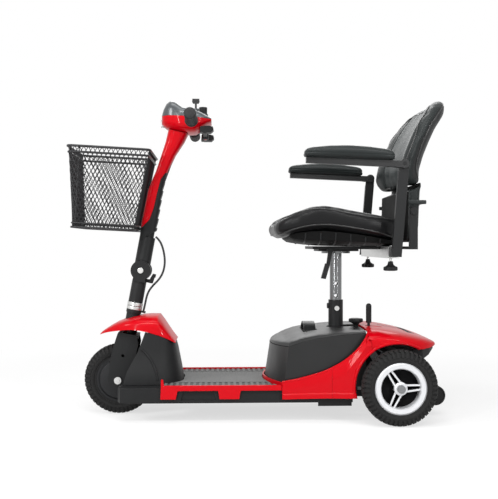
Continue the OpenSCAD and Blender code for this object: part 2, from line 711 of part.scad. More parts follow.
// Two clamp rings round the steerer and the pin of the fold joint
module stem_hardware() {
    color("#c3c6ca") on_stem() {
        difference() {
            union() {
                translate([0, 0, ear_top_s + 0.1]) cylinder(d = stem_d + 3, h = 10);
                translate([0, 0, ring_top_s - 10.2]) cylinder(d = stem_d + 3, h = 10);
            }
            translate([0, 0, ear_top_s - 1]) cylinder(d = steerer_d, h = 60);
        }
        bar_y(fold_pin_d / 2, -cheek_out - 2, cheek_out + 2);
        both_sides() bar_y(8.5, cheek_out, cheek_out + 4);
    }
}

module front_axle() {
    end = front_tyre_w / 2 + 20;
    color("#c3c6ca") translate([front_axle_x, 0, front_axle_z]) {
        bar_y(front_axle_d / 2, -end - 8, end + 8);
        both_sides() bar_y(10.5, end, end + 7);
    }
}

module control_cable() {
    n = 10;
    last = len(CABLE) - 1;
    loops = [for (i = [0:last]) let (
        p = CABLE[i], a = CABLE[max(i - 1, 0)], b = CABLE[min(i + 1, last)],
        d = (b - a) / norm(b - a))
        [for (c = ring(n, cable_d / 2, cable_d / 2, 1)) [p[0] + c[1] * d[1], c[0], p[1] - c[1] * d[0]]]];
    color("#151516") from_front() loft(loops);
}

module tilt_lock_lever() {
    color("#1b1c1e") on_stem() translate([33, 0, -knuckle_r + 2]) difference() {
        union() {
            both_sides() plate_y(5.4, 9) polygon([[-5, -5], [6, -5], [10, 22], [2, 22], [-4, 6]]);
            translate([2, -9, 13]) cube([9, 18, 10]);
        }
        bar_y(3 + run_gap, -20, 20);
    }
}

// Tyre section: rounded block from the rim to the tread
module tyre(d, rim_d, w) {
    r = d / 2;
    b = w / 2;
    rotate([90, 0, 0]) rotate_extrude() polygon([
        [rim_d / 2, -b + 6], [rim_d / 2 + 6, -b + 1.5], [rim_d / 2 + 14, -b], [r - 13, -b + 0.5],
        [r - 5, -b + 4],
        [r - 1.5, -b + 10], [r, -b + 17], [r, -3], [r - 3, -2], [r - 3, 2], [r, 3], [r, b - 17],
        [r - 1.5, b - 10],
        [r - 5, b - 4], [r - 13, b - 0.5], [rim_d / 2 + 14, b], [rim_d / 2 + 6, b - 1.5],
        [rim_d / 2, b - 6]]);
}

module front_tyre() {
    color("#161617") translate([front_axle_x, 0, front_axle_z])
        tyre(front_tyre_d, front_rim_d, front_tyre_w);
}

module front_rim() {
    b = front_tyre_w / 2;
    r = front_rim_d / 2;
    color("#4b4e54") translate([front_axle_x, 0, front_axle_z]) rotate([90, 0, 0]) rotate_extrude()
        polygon([
        [front_axle_d / 2 + run_gap, -b - 7], [20, -b - 7], [24, -b - 3], [54, -b + 1], [57, -b + 5],
        [60, -b + 9], [r, -b + 9],
        [r, b - 9], [60, b - 9], [57, b - 5], [54, b - 1], [24, b + 3], [20, b + 7],
        [front_axle_d / 2 + run_gap, b + 7]]);
}

module rear_tyre() {
    translate([rear_axle_x, -rear_track_half, rear_axle_z]) tyre(rear_tyre_d, rear_rim_d, rear_tyre_w);
}

// Rim of the left wheel: ring, dished back, hub and three double spokes on the outer face
module rear_rim() {
    b = rear_tyre_w / 2;
    r = rear_rim_d / 2;
    translate([rear_axle_x, -rear_track_half, rear_axle_z]) difference() {
        union() {
            rotate([90, 0, 0]) rotate_extrude() polygon([
                [rear_axle_d / 2, -b + 4], [24, -b + 4], [26, -8], [r - 18, -8], [r - 14, -b + 6],
                [r, -b + 6], [r, b - 6],
                [r - 4, b - 3], [r - 15, b - 4], [r - 18, b - 9], [r - 18, 0], [18, 0], [18, b - 8],
                [14, b - 5], [rear_axle_d / 2, b - 5]]);
            for (a = [-4, 116, 236]) rotate([0, a, 0]) for (side = [-1, 1])
                rotate([0, side * 4, 0]) translate([12, 10.5 - b, side * 9.5 - 2.5])
                    cube([r - 28, b - 9.5, 5]);
        }
        bar_y(rear_axle_d / 2, -100, 100);
    }
}

module rear_axle() {
    translate([rear_axle_x, 0, rear_axle_z]) {
        bar_y(rear_axle_d / 2, -rear_track_half - rear_tyre_w / 2 + 2, -14);
        bar_y(11, -rear_track_half - rear_tyre_w / 2 - 2, -rear_track_half - rear_tyre_w / 2 + 5);
    }
}

module rear_tyre_left() { color("#161617") rear_tyre(); }
module rear_rim_left() { color("#c9ccd1") rear_rim(); }
module rear_axle_left() { color("#7c7f84") rear_axle(); }
module rear_tyre_right() { color("#161617") mirror([0, 1, 0]) rear_tyre(); }
module rear_rim_right() { color("#c9ccd1") mirror([0, 1, 0]) rear_rim(); }
module rear_axle_right() { color("#7c7f84") mirror([0, 1, 0]) rear_axle(); }

module anti_tip_wheels() {
    r = tip_wheel_d / 2;
    color("#161617") translate([tip_x, 0, tip_z]) both_sides() translate([0, tip_y, 0]) rotate([90, 0, 0])
        rotate_extrude() polygon([
            [5 + run_gap, -12], [9, -12], [11, -9], [r - 6, -9], [r - 4, -12], [r - 2, -11], [r, -8],
            [r, 8], [r - 2, 11],
            [r - 4, 12], [r - 6, 9], [11, 9], [9, 12], [5 + run_gap, 12]]);
}

// Tiller

function stem_at(z) = pivot_x + (z - pivot_z) * tan(rake);
function basket_back(z) = basket_rear_x + (z - basket_floor_z) * tan(basket_rear_a + basket_tilt);

// Arm between two heights from the tiller tube to a gap behind the basket's rear panel
module basket_arm(z0, z1, half, gap) {
    plate_y(-half, half) polygon([
        [basket_back(z0) + gap, z0], [stem_at(z0), z0], [stem_at(z1), z1], [basket_back(z1) + gap, z1]]);
}

module tiller_stem() {
    color("#232427") {
        on_stem() {
            difference() {
                union() {
                    bar_y(tongue_r, -tongue_half, tongue_half);
                    translate([-16, -tongue_half, 0]) cube([32, 2 * tongue_half, knuckle_r + 8]);
                }
                bar_y(fold_pin_d / 2 + run_gap, -60, 60);
            }
            difference() {
                translate([0, 0, 8]) cylinder(d = tiller_d, h = knuckle_r + 62);
                bar_y(knuckle_r + 0.6, -60, 60);
            }
            translate([0, 0, knuckle_r + 60]) cylinder(d = tiller_core_d, h = bend_s - knuckle_r - 60);
            translate([0, 0, bend_s]) sphere(d = tiller_core_d);
        }
        on_bend() cylinder(d = tiller_core_d - 4, h = tube_l - 8);
        on_head() {
            plate_y(-12, 12) polygon([[-55, -16], [0, -9], [0, 9], [-41, 8], [-53, -2]]);
            bar_y(bar_d / 2, -bar_half, bar_half);
        }
        from_front() {
            for (z = bracket_levels) basket_arm(z, z + bracket_h, 7, seam);
        }
    }
}

// Tiller cover cut from the sleeve round the tube by a side outline
module cover() {
    difference() {
        from_front() intersection() {
            loft([for (row = SLEEVE) [for (p = ring(24, (row[2] - row[1]) / 2, row[3], 0.72))
                [(row[1] + row[2]) / 2 + p[0], p[1], row[0]]]]);
            plate_y(-80, 80) children();
        }
        on_stem() translate([0, 0, knuckle_r])
            cylinder(d = tiller_core_d + 0.8, h = bend_s - knuckle_r + 4);
        on_stem() cylinder(d = tiller_d + 0.8, h = knuckle_r + 71);
        on_stem() translate([0, 0, bend_s]) sphere(d = tiller_core_d + 0.8);
        on_bend() translate([0, 0, -4]) cylinder(d = tiller_core_d - 3.2, h = tube_l + 63);
        from_front() for (z = bracket_levels) basket_arm(z - 0.5, z + bracket_h + 0.5, 7.5, -20);
    }
}

module tiller_cover_front() {
    color("#b3121d") cover() polygon([
        [52, 541], [66, 541], [88, 563], [101, 598], [113, 650], [121, 680], [134, 699], [230, 709],
        [handle_x + 17, handle_z - 25], for (row = [HEAD[6], HEAD[5], HEAD[4], HEAD[3], HEAD[2]])
            [handle_x + row[0], handle_z + row[1] - 0.8],
        [handle_x - 88, handle_z - 4], [60, 700], [40, 600]]);
}

module tiller_cover_rear() {
    back = [for (row = SLEEVE) [row[0], row[2]]];
    pitch = 27;
    color("#1b1c1e") difference() {
        rear_cover();
        from_front() plate_y(-40, 40) for (z = [539:pitch:690]) polygon([
            [lookup(z, back) - 4, z], [lookup(z, back) + 12, z + 3],
            [lookup(z + pitch, back) + 12, z + pitch],
            [lookup(z + pitch, back) - 0.4, z + pitch - 3]]);
    }
}

module rear_cover() {
    cover() polygon([
        [30, 488.5], [112, 534], [200, 600], [200, 706.3 - seam], [134 + seam, 699 - seam],
        [121 + seam, 680 - seam],
        [113 + seam, 650], [101 + seam, 598], [88 + seam, 563 - seam], [66 + seam, 541 - seam],
        [30, 541 - seam]]);
}

function split_at(x) = split_z - split_slope * (x + 88);

module head_shell() {
    color("#b3121d") on_head() difference() {
        union() {
            loft([for (row = HEAD) [for (p = arch_closed(15, row[3], split_at(row[0]) - row[1], 0.55))
                [row[0], p[0], split_at(row[0]) - p[1]]]]);
            translate([paddle_x, 0, -40]) cylinder(r = 4, h = 44);
        }
        bar_y(bar_d / 2 + 0.4, -100, 100);
        plate_y(-12.5, 12.5) polygon([[-63, -38], [-6, -16], [0, 9.5], [-43, 9], [-59, 0]]);
        translate([-handle_back, 0, 0]) rotate([0, rake + bend_angle, 0]) translate([0, 0, -200])
            cylinder(d = tiller_core_d - 3, h = 199.3);
        translate([0, 0, lens_z]) bar_x(lens_d / 2 + 0.3, -113, -82);
    }
}

module console() {
    color("#5d6167") on_head() difference() {
        union() {
            loft([for (row = HEAD) let (z = split_at(row[0]) + 0.4)
                [for (p = arch_closed(15, row[3], row[2] - z, 0.6))
                [row[0], p[0], z + p[1]]]]);
            translate([key_x, key_y, 24]) cylinder(r = 10, h = boss_z - 24);
            translate([dial_x, dial_y, 20]) cylinder(r = 15, h = dial_boss_z - 20);
        }
        translate([key_x, key_y, 28]) cylinder(r = 3 + run_gap, h = 60);
        translate([dial_x, dial_y, 24]) cylinder(r = 4 + run_gap, h = 60);
        translate([horn_x, horn_y, 28]) cylinder(r = 8.4, h = 60);
    }
}

module headlight_lens() {
    color("#e8ecf0") on_head() translate([0, 0, lens_z]) bar_x(lens_d / 2, -92, -82.2);
}

module handlebar_grips() {
    color("#151516") on_head() both_sides() difference() {
        union() {
            bar_y(grip_d / 2, bar_half - 116, bar_half + 2);
            bar_y(grip_d / 2 - 3, bar_half + 2, bar_half + 5);
            bar_y(grip_d / 2 + 2.5, bar_half - 120, bar_half - 115);
        }
        bar_y(bar_d / 2, bar_half - 140, bar_half);
    }
}

module ignition_key() {
    color("#1b1c1e") on_head() translate([key_x, key_y, 0]) {
        translate([0, 0, 30]) cylinder(r = 3, h = 34);
        plate_y(-2.5, 2.5) polygon([[-8, 61], [8, 61], [11, 66], [10, 75], [-10, 75], [-11, 66]]);
    }
}

module speed_dial() {
    color("#151516") on_head() translate([dial_x, dial_y, 0]) {
        translate([0, 0, 25]) cylinder(r = 4, h = 20);
        difference() {
            translate([0, 0, dial_boss_z + 0.4]) cylinder(r = 12, h = 20);
            translate([-1.5, 5, dial_boss_z + 18]) cube([3, 9, 4]);
        }
    }
}

module horn_button() {
    color("#c8a21a") on_head() translate([horn_x, horn_y, 32]) cylinder(r = 8, h = 17);
}

module throttle_paddles() {
    color("#151516") on_head() translate([paddle_x, 0, 0]) difference() {
        union() {
            translate([0, 0, -39]) cylinder(r = 10, h = 24);
            box(-5, 5, -100, 100, -34, -25);
            both_sides() plate_y(72, 110) polygon([[-14, -32], [17, -33], [25, -26], [23, -17], [12, -14],
                [-13, -16]]);
        }
        translate([0, 0, -48]) cylinder(r = 4 + run_gap, h = 60);
    }
}

module freewheel_lever() {
    color("#1b1c1e") translate([lever_x, lever_y, lever_z]) difference() {
        union() {
            bar_y(9, -5, 5);
            cylinder(r = 4, h = 76);
            translate([0, 0, 66]) cylinder(r = 8, h = 48);
            translate([0, 0, 114]) sphere(r = 8);
        }
        bar_y(4 + run_gap, -20, 20);
    }
}

// Basket: five panels of open diamond mesh under a rim of four rods

// Panel outline with a solid border and diamond openings, base on the X axis
module net_panel(base_0, base_1, top_0, top_1, h, cols, rows) {
    edge = 7;
    difference() {
        polygon([[base_0, 0], [base_1, 0], [top_1, h], [top_0, h]]);
        for (j = [0:rows - 1], i = [0:cols - 1]) {
            share = (j + 0.5) / rows;
            left = base_0 + (top_0 - base_0) * share + edge;
            right = base_1 + (top_1 - base_1) * share - edge;
            w = (right - left) / cols;
            d = (h - 2 * edge) / rows;
            translate([left + (i + 0.5) * w, edge + (j + 0.5) * d])
                polygon([[-w / 2 + 1.4, 0], [0, -d / 2 + 1.4], [w / 2 - 1.4, 0], [0, d / 2 - 1.4]]);
        }
    }
}

module on_basket() {
    from_front() translate([basket_rear_x, 0, basket_floor_z]) rotate([0, basket_tilt, 0])
        translate([-basket_rear_x, 0, -basket_floor_z]) children();
}

module basket() {
    r = basket_rod_d / 2;
    x0 = basket_floor_x;
    x1 = basket_rear_x;
    x2 = basket_rim_x;
    x3 = basket_rim_x + basket_top_l;
    w0 = basket_floor_half;
    w1 = basket_half_w;
    rim_z = basket_floor_z + basket_h;
    front_a = atan((x2 - x0) / basket_h);
    rear_a = basket_rear_a;
    side_a = atan((w1 - w0) / basket_h);
    color("#151516") on_basket() {
        translate([x0, 0, basket_floor_z]) rotate([0, front_a, 0]) rotate([90, 0, 90]) linear_extrude(net_t)
            net_panel(-w0 + 3, w0 - 3, -w1 + 3, w1 - 3, basket_h / cos(front_a) - 0.3, 8, 7);
        translate([x1, 0, basket_floor_z]) rotate([0, rear_a, 0]) translate([-net_t, 0, 0])
            rotate([90, 0, 90])
            linear_extrude(net_t) net_panel(-w0 + 3, w0 - 3, -w1 + 3, w1 - 3, basket_h / cos(rear_a) - 0.3,
                8, 7);
        both_sides() translate([0, -w0, basket_floor_z]) rotate([90 + side_a, 0, 0]) linear_extrude(net_t)
            net_panel(x0 + 0.5, x1 - 0.5, x2 + 0.5, x3 - 0.5, basket_h / cos(side_a) - 0.5, 7, 7);
        translate([0, 0, basket_floor_z - net_t - 0.3]) linear_extrude(net_t) translate([0, -w0])
            net_panel(x0, x1, x0, x1, 2 * w0, 7, 8);
        both_sides() translate([0, -w1 - 1, rim_z + r]) bar_x(r, x2 - r, x3 - 0.5);
        for (x = [x2 + r, x3 - r - 0.5]) translate([x, 0, rim_z + r]) bar_y(r, -w1 + r, w1 - r);
    }
}

// Seat

module seat_post() {
    color("#c3c6ca") from_post() difference() {
        union() {
            translate([0, 0, 140]) cylinder(d = post_d, h = flange_top_z - 140);
            translate([0, 0, flange_top_z - 6]) cylinder(r = 42, h = 6);
        }
        translate([0, 0, 130]) cylinder(d = 24 + 2 * run_gap, h = 400);
        for (i = [0:5]) translate([0, 0, socket_top_z - 24 + post_hole_pitch * (i - 3)])
            bar_y(5.5, -40, 40);
    }
}

module seat_base() {
    low = leg_z - arm_leg_w / 2 - 4;
    color("#232427") from_post() difference() {
        union() {
            translate([0, 0, flange_top_z - 50]) cylinder(d = 24, h = 60);
            box(-58, 58, -58, 58, flange_top_z + 0.3, seat_z - plate_t + 1);
            box(-80, fold_x + 12, -100, 100, seat_z - plate_t, seat_z);
            box(leg_x - arm_leg_w / 2 - 4, leg_x + arm_leg_w / 2 + 4, 8 - cushion_half_w,
                cushion_half_w - 8, low, seat_z);
            box(fold_x - 12, fold_x + 12, -bracket_in - 7, bracket_in + 7, seat_z - plate_t, seat_z);
            both_sides() plate_y(bracket_in, bracket_in + 7) {
                translate([fold_x - 12, seat_z - plate_t]) square([24, fold_z - seat_z + plate_t]);
                translate([fold_x, fold_z]) circle(r = 12);
            }
            translate([fold_x, 0, fold_z]) both_sides() {
                bar_y(6, bracket_in - 16, bracket_in + 8);
                bar_y(10, bracket_in + 6, bracket_in + 11);
            }
            translate([swivel_x, swivel_y - 12, seat_z - plate_t - 8]) cube([12, 24, 9]);
            translate([swivel_x + 6, 0, seat_z - plate_t - 6]) bar_y(4, swivel_y - 24, swivel_y);
        }
        translate([leg_x - arm_leg_w / 2 - 0.3, -300, leg_z - arm_leg_w / 2 - 0.3])
            cube([arm_leg_w + 0.6, 600, arm_leg_w + 0.6]);
        both_sides() translate([leg_x, arm_knob_y, low - 1]) cylinder(r = 4 + run_gap, h = 12);
    }
}

module seat_pan() {
    stations = [-148, -138, -125, -95, -58, -18, 30, 78, 118, 132, 142];
    low = [[-148, 19], [-138, 12], [-110, 6], [-60, 2], [0, 0.3], [142, 0.3]];
    wide = [[-148, 150], [-138, 164], [-110, 178], [-60, 186], [60, 186], [110, 180], [132, 168],
        [142, 150]];
    color("#1b1c1e") from_post() loft([for (x = stations) let (
        z0 = seat_z + lookup(x, low), z1 = seat_z + lookup(x, cushion_low) - seam,
        w = lookup(x, wide) * cushion_half_w / 213)
        [for (p = arch_closed(9, w, z1 - z0, 0.5)) [x, p[0], z1 - p[1]]]]);
}

module seat_cushion() {
    n = 40;
    color("#141415") from_post() loft([for (row = CUSHION) let (
        w = row[3] * cushion_half_w, mid = (row[1] + row[2]) / 2 + seat_z, half = (row[1] - row[2]) / 2)
        [for (p = ring(n, w, half, 0.5)) let (
            share = p[0] / w, dish = p[1] > 0 ? 20 * (1 - share * share) * (row[1] - row[2]) / 64 : 0,
            seam_dip = p[1] > 0 ? 5 * exp(-pow((abs(share) - 0.6) / 0.07, 2)) : 0)
            [row[0], p[0], mid + p[1] - dish - seam_dip]]]);
}

module swivel_lever() {
    color("#4b4e54") from_post() translate([swivel_x + 6, swivel_y - 18, seat_z - plate_t - 6])
        difference() {
        union() {
            bar_y(8, -5, 5);
            plate_y(-3, 3) polygon([[-6, 0], [6, 0], [-1, -38], [-11, -38]]);
            plate_y(-6, 6) polygon([[0, -34], [-14, -34], [-26, -76], [-13, -78]]);
        }
        bar_y(4 + run_gap, -20, 20);
    }
}

// Armrests, drawn on the left

module arm_leg() {
    y0 = -arm_half;
    half = arm_leg_w / 2;
    from_post() {
        box(leg_x - half, leg_x + half, y0, -92, leg_z - half, leg_z + half);
        plate_y(y0 - 7, y0 + 7) polygon([
            [leg_x - 13, leg_z - half], [leg_x + 13, leg_z - half], [hinge_x + 11, hinge_z - 22],
            [hinge_x - 16, hinge_z - 22]]);
        translate([hinge_x, 0, hinge_z]) bar_y(13, y0 - 4, y0 + 4);
        plate_y(y0 - 4, y0 + 4) polygon([
            [hinge_x - 16, hinge_z - 24], [hinge_x + 11, hinge_z - 24], [hinge_x + 13, hinge_z],
            [hinge_x - 13, hinge_z]]);
        translate([hinge_x, 0, hinge_z]) bar_y(5, y0 - 11, y0 + 11);
    }
}

module on_arm() { from_post() translate([hinge_x, -arm_half, hinge_z]) rotate([0, arm_tilt, 0])
    children(); }

module arm_bar() {
    on_arm() difference() {
        union() {
            plate_y(-10, 10) polygon([[-arm_pad_l - 22, -8], [-arm_pad_l - 22, arm_bar_top],
                [-22, arm_bar_top], [-22, -10]]);
            both_sides() plate_y(4.4, 10) {
                polygon([[-40, -9], [-40, arm_bar_top], [-10, arm_bar_top], [0, 11], [0, -11], [-16, -11]]);
                circle(r = 12);
            }
        }
        bar_y(5 + run_gap, -20, 20);
    }
}

module arm_pad() {
    l = arm_pad_l;
    half = arm_pad_w / 2;
    stations = [[0, 0.6, 5], [3, 0.8, 8], [9, 0.94, 10.3], [22, 1, 11.8], [0.28 * l, 1, 14.6],
        [0.5 * l, 1, 16], [0.72 * l, 1, 15.2],
        [l - 22, 1, 13], [l - 9, 0.93, 11.5], [l - 3, 0.78, 9], [l, 0.56, 6]];
    on_arm() translate([-l - 28, 0, arm_bar_top + 0.6]) loft([for (row = stations)
        [for (p = ring(28, row[1] * half, row[2], 0.55))
            let (crown = p[1] > 0 ? 3 * (1 - pow(p[0] / half, 2)) : 0)
            [row[0], p[0], row[2] + p[1] + crown]]]);
}

module arm_leg_left() { color("#232427") arm_leg(); }
module arm_bar_left() { color("#1b1c1e") arm_bar(); }
module arm_pad_left() { color("#2f3033") arm_pad(); }
module arm_leg_right() { color("#232427") mirror([0, 1, 0]) arm_leg(); }
module arm_bar_right() { color("#1b1c1e") mirror([0, 1, 0]) arm_bar(); }
module arm_pad_right() { color("#2f3033") mirror([0, 1, 0]) arm_pad(); }

module arm_knob(side) {
    color("#1b1c1e") from_post() translate([leg_x, side * arm_knob_y, leg_z - arm_leg_w / 2 - 5])
        rotate([180, 0, 0]) hand_knob(40, 34, 4);
}

module arm_knob_left() { arm_knob(-1); }
module arm_knob_right() { arm_knob(1); }

// How far the upper backrest comes forward at its sides
function wrap_at(z, y) = back_wrap * max(0, min(1, (z - 150) / 64)) * pow(y / back_half_w, 2);

module backrest_shell() {
    color("#1f2022") from_post() difference() {
        loft([for (row = BACK_SHELL) [for (p = ring(32, (row[2] - row[1]) / 2, row[3], 0.42))
            [(row[1] + row[2]) / 2 + p[0] - wrap_at(row[0], p[1]), p[1], row[0] + seat_z]]]);
        translate([fold_x, 0, fold_z]) both_sides() bar_y(6 + run_gap, bracket_in - 18, bracket_in + 20);
    }
    color("#1f2022") from_post() translate([fold_x, 0, fold_z]) both_sides() {
        box(15, 27, 160, bracket_in + 18, 18, 29);
        box(-18, 33, bracket_in + 12, bracket_in + 18, 18, 29);
    }
}

module backrest_cushion() {
    color("#2f3033") from_post() loft([for (row = BACK) let (w = row[3] * back_half_w)
        [for (p = ring(40, (row[2] - row[1]) / 2, w, 0.5)) let (
            share = p[1] / w, seam_dip = p[0] < 0 ? 4 * exp(-pow((abs(share) - 0.62) / 0.06, 2)) : 0)
            [(row[1] + row[2]) / 2 + p[0] + seam_dip + (p[0] < 0 ? 8 * (1 - share * share) : 0) -
                wrap_at(row[0], p[1]), p[1],
                row[0] + seat_z]]]);
}

main_frame();
deck_pan();
deck_mat();
deck_trims();
front_cowl();
leg_shield();
rear_shroud();
rear_bumper();
seat_socket();
drive_motor();
transaxle();
frame_bolts();
battery_case();
battery_lid();
battery_handle();
battery_cells();
lock_knob();
fork();
steering_stem();
stem_hardware();
front_axle();
control_cable();
tilt_lock_lever();
front_tyre();
front_rim();
rear_tyre_left();
rear_rim_left();
rear_axle_left();
rear_tyre_right();
rear_rim_right();
rear_axle_right();
anti_tip_wheels();
tiller_stem();
tiller_cover_front();
tiller_cover_rear();
head_shell();
console();
headlight_lens();
handlebar_grips();
basket();
ignition_key();
speed_dial();
horn_button();
throttle_paddles();
freewheel_lever();
seat_post();
seat_base();
seat_pan();
seat_cushion();
swivel_lever();
arm_leg_left();
arm_bar_left();
arm_pad_left();
arm_leg_right();
arm_bar_right();
arm_pad_right();
arm_knob_left();
arm_knob_right();
backrest_shell();
backrest_cushion();
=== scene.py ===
"""Looks of a three-wheel mobility scooter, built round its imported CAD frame."""

import json
import math

import bmesh
import bpy
import numpy as np
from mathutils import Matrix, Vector


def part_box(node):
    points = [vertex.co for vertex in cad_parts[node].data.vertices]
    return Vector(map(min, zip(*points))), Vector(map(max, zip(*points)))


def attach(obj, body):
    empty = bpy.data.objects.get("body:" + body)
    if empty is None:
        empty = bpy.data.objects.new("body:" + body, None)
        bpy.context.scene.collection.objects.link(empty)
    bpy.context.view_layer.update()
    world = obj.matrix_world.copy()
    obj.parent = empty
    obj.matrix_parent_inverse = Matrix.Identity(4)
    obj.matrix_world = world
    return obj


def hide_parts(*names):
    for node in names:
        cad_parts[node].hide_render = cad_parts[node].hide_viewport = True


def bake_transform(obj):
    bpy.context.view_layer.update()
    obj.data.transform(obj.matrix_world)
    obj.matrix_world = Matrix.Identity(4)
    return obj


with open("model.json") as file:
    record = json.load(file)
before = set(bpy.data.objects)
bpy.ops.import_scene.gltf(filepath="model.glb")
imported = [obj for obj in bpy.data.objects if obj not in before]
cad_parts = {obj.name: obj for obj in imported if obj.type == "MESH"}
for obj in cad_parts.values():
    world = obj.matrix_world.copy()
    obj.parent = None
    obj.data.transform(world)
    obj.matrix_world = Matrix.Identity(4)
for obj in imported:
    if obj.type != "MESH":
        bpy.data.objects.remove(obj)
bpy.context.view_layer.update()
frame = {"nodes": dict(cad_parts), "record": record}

bl_info = {
    "name": "Mobility scooter looks",
    "version": (1, 0, 0),
    "blender": (4, 5, 0),
    "location": "3D View > Sidebar > Scooter",
    "description": "Finishes, tyres, basket net, cable and padded seat of a mobility scooter",
    "category": "Object",
}


def corners(node):
    """Lowest and highest corner of a CAD node."""
    low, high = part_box(node)
    return Vector(low), Vector(high)


def middle(node):
    low, high = corners(node)
    return (low + high) / 2


MM = 0.001
SIDES = (-1, 1)
# Points nearer than this are one: in a copy of a CAD node, then in a mesh made here
MERGE = 2e-5
WELD = 1e-6
# Faces of a copy that turn by fewer degrees than this are one flat face
FLAT = 0.4
# The body of each CAD node
BODY_OF = {node: body for body, nodes in frame["record"]["behaviour"]["bodies"].items()
           for node in nodes}
# A ray towards the middle plane starts this far out, beside every piece
OUTSIDE = 0.4

FRONT_AXLE = middle("front_axle").x
REAR_AXLE = middle("rear_axle_left").x
SEAT_POST = middle("seat_post").x

# Route of the control cable in the middle plane: millimetres behind the front axle and up
CABLE_ROUTE = [
    (104.8, 514), (112, 507), (120, 495), (126, 478), (130, 458), (131, 438), (128, 418),
    (121.5, 401), (111, 386), (97.5, 372), (86, 357), (79, 341), (75, 324), (71.7, 309),
    (68.9, 297.4),
]

# Ends of the basket's rim and floor in the middle plane: millimetres behind the front axle
# and up, then half of the width
BASKET_RIM = ((-128.7, 761.5), (99.0, 749.5), 132.0)
BASKET_FLOOR = ((-120.8, 539.2), (54.5, 530.0), 124.0)

# Upper edge of a side skirt, then the seam of the battery lid from its front to its rear:
# millimetres behind the rear axle, out from the middle plane and up
SKIRT_EDGE = [
    (-315, 164, 113), (-278, 164, 119.5), (-236, 164.5, 130), (-196, 165.5, 143),
    (-158, 167.5, 162), (-138, 169.5, 175.5), (-122, 171.5, 189), (-104, 174.5, 207.5),
    (-87, 175.5, 232), (-80, 163, 242), (-73, 149.5, 251),
]
LID_SEAM = [
    (-338.4, 7.7, 206.2), (-334.4, 43.4, 206.2), (-326.8, 77.4, 206.7), (-317, 105.4, 207.2),
    (-305.8, 130.1, 208.2), (-296, 154.9, 209.7), (-282, 154.9, 214.7), (-258, 154.9, 222.7),
    (-215, 154.9, 232.2), (-154, 154.9, 240.7), (-84, 154.9, 246.1),
]
# Radius of the lips and skirt edges, of the rear arches' edges and of the battery lid's seal
BEAD, ARCH_BEAD, LID_SEAL = 0.0034, 0.0042, 0.0012
# Lips of the wheel arches: radius round the axle, then the degrees that they run through
FENDER_ARCH = (0.1185, range(53, 3, -2))
REAR_ARCH = (0.1190, range(194, 46, -3))

# Places that part two finishes of one node: the mat's grooves under its ribs, left darker as
# painted shade, the dish of a rear rim, painted near black as painted shade, the end of an axle,
# the slot of the freewheel lever, painted black as painted shade, and the armrest receiver
MAT_GROOVE = 0.1022
DISH_RADIUS, DISH_FACE = 0.0524, 0.2125
AXLE_END = 0.012
SLOT_X, SLOT_Y = (0.354, 0.440), (0.0035, 0.0145)
RECEIVER_X, RECEIVER_TOP = (SEAT_POST + 0.108, SEAT_POST + 0.146), 0.477

# Voxel of the seat's foam, then how its cover behaves while it swells
FOAM_VOXEL = 0.0055
COVER_CLOTH = {
    "quality": 5, "mass": 0.3, "use_pressure": True, "tension_stiffness": 25,
    "compression_stiffness": 25, "bending_stiffness": 0.4,
}

# Each lamp's name, place, target, width and height, and watts
LAMPS = [
    ("top_softbox", (-0.3, -0.4, 2.5), (0, 0, 0.3), (1.6, 1.0), 18),
    ("key_softbox", (-2.3, -1.2, 1.5), (0, 0, 0.4), (0.7, 0.7), 28),
    ("long_strip", (0.2, -1.7, 2.0), (0, 0, 0.3), (2.2, 0.07), 29),
    ("front_strip", (-1.2, -1.9, 0.9), (-0.1, 0, 0.4), (0.05, 1.3), 15),
    ("rear_strip", (1.3, -1.9, 1.0), (0.2, 0, 0.4), (0.05, 1.3), 15),
    ("back_softbox", (0.4, 2.2, 1.8), (0, 0, 0.4), (1.6, 1.2), 18),
]
# The camera's lens and sensor in millimetres, its place, and its dip and turn in degrees
LENS, SENSOR = 57.7, 36
CAMERA_PLACE = (FRONT_AXLE + 0.2918, -2.350, 0.491)
CAMERA_DIP, CAMERA_TURN = 0.35, -2.1
FLOOR_SIZE, FLOOR_MIDDLE = 40, (0, 8, 0)
# Light of the world; the floor's grey and glow near the scooter, and where they fade to white
WORLD_LIGHT = 0.22
FLOOR_GREY, FLOOR_GLOW, FLOOR_FADE = (0.36, 0.36, 0.36, 1), 0.66, (0.75, 1.7)


# What every length and every colour of the sidebar has in common
LENGTH = {"subtype": "DISTANCE", "unit": "LENGTH"}
COLOUR = {"subtype": "COLOR", "min": 0, "max": 1}


class ScooterSizes(bpy.types.PropertyGroup):
    """Sizes of the pieces that are modelled here."""

    tread_blocks: bpy.props.IntProperty(
        name="Tread blocks", description="Blocks round one tyre", default=46, min=24, max=80)
    tread_depth: bpy.props.FloatProperty(
        name="Tread depth", description="Height of a tread block", default=0.0032, min=0.001,
        max=0.006, **LENGTH)
    net_pitch: bpy.props.FloatProperty(
        name="Net pitch", description="Width of one diamond of the basket net", default=0.0132,
        min=0.008, max=0.04, **LENGTH)
    net_strand: bpy.props.FloatProperty(
        name="Net strand", description="Thickness of a strand of the basket net", default=0.0021,
        min=0.001, max=0.004, **LENGTH)
    cable_diameter: bpy.props.FloatProperty(
        name="Cable diameter", description="Outside of the control cable", default=0.006,
        min=0.004, max=0.008, **LENGTH)
    edge_round: bpy.props.FloatProperty(
        name="Edge rounding", description="Softening of the edges of the rigid parts",
        default=0.0009, min=0.0, max=0.003, **LENGTH)
    seam_depth: bpy.props.FloatProperty(
        name="Seam depth", description="Depth of the sewn channels of the seat", default=0.006,
        min=0.0, max=0.012, **LENGTH)
    seat_rise: bpy.props.FloatProperty(
        name="Seat rise", description="Farthest that the foam swells under its cover",
        default=0.006, min=0.0, max=0.015, **LENGTH)


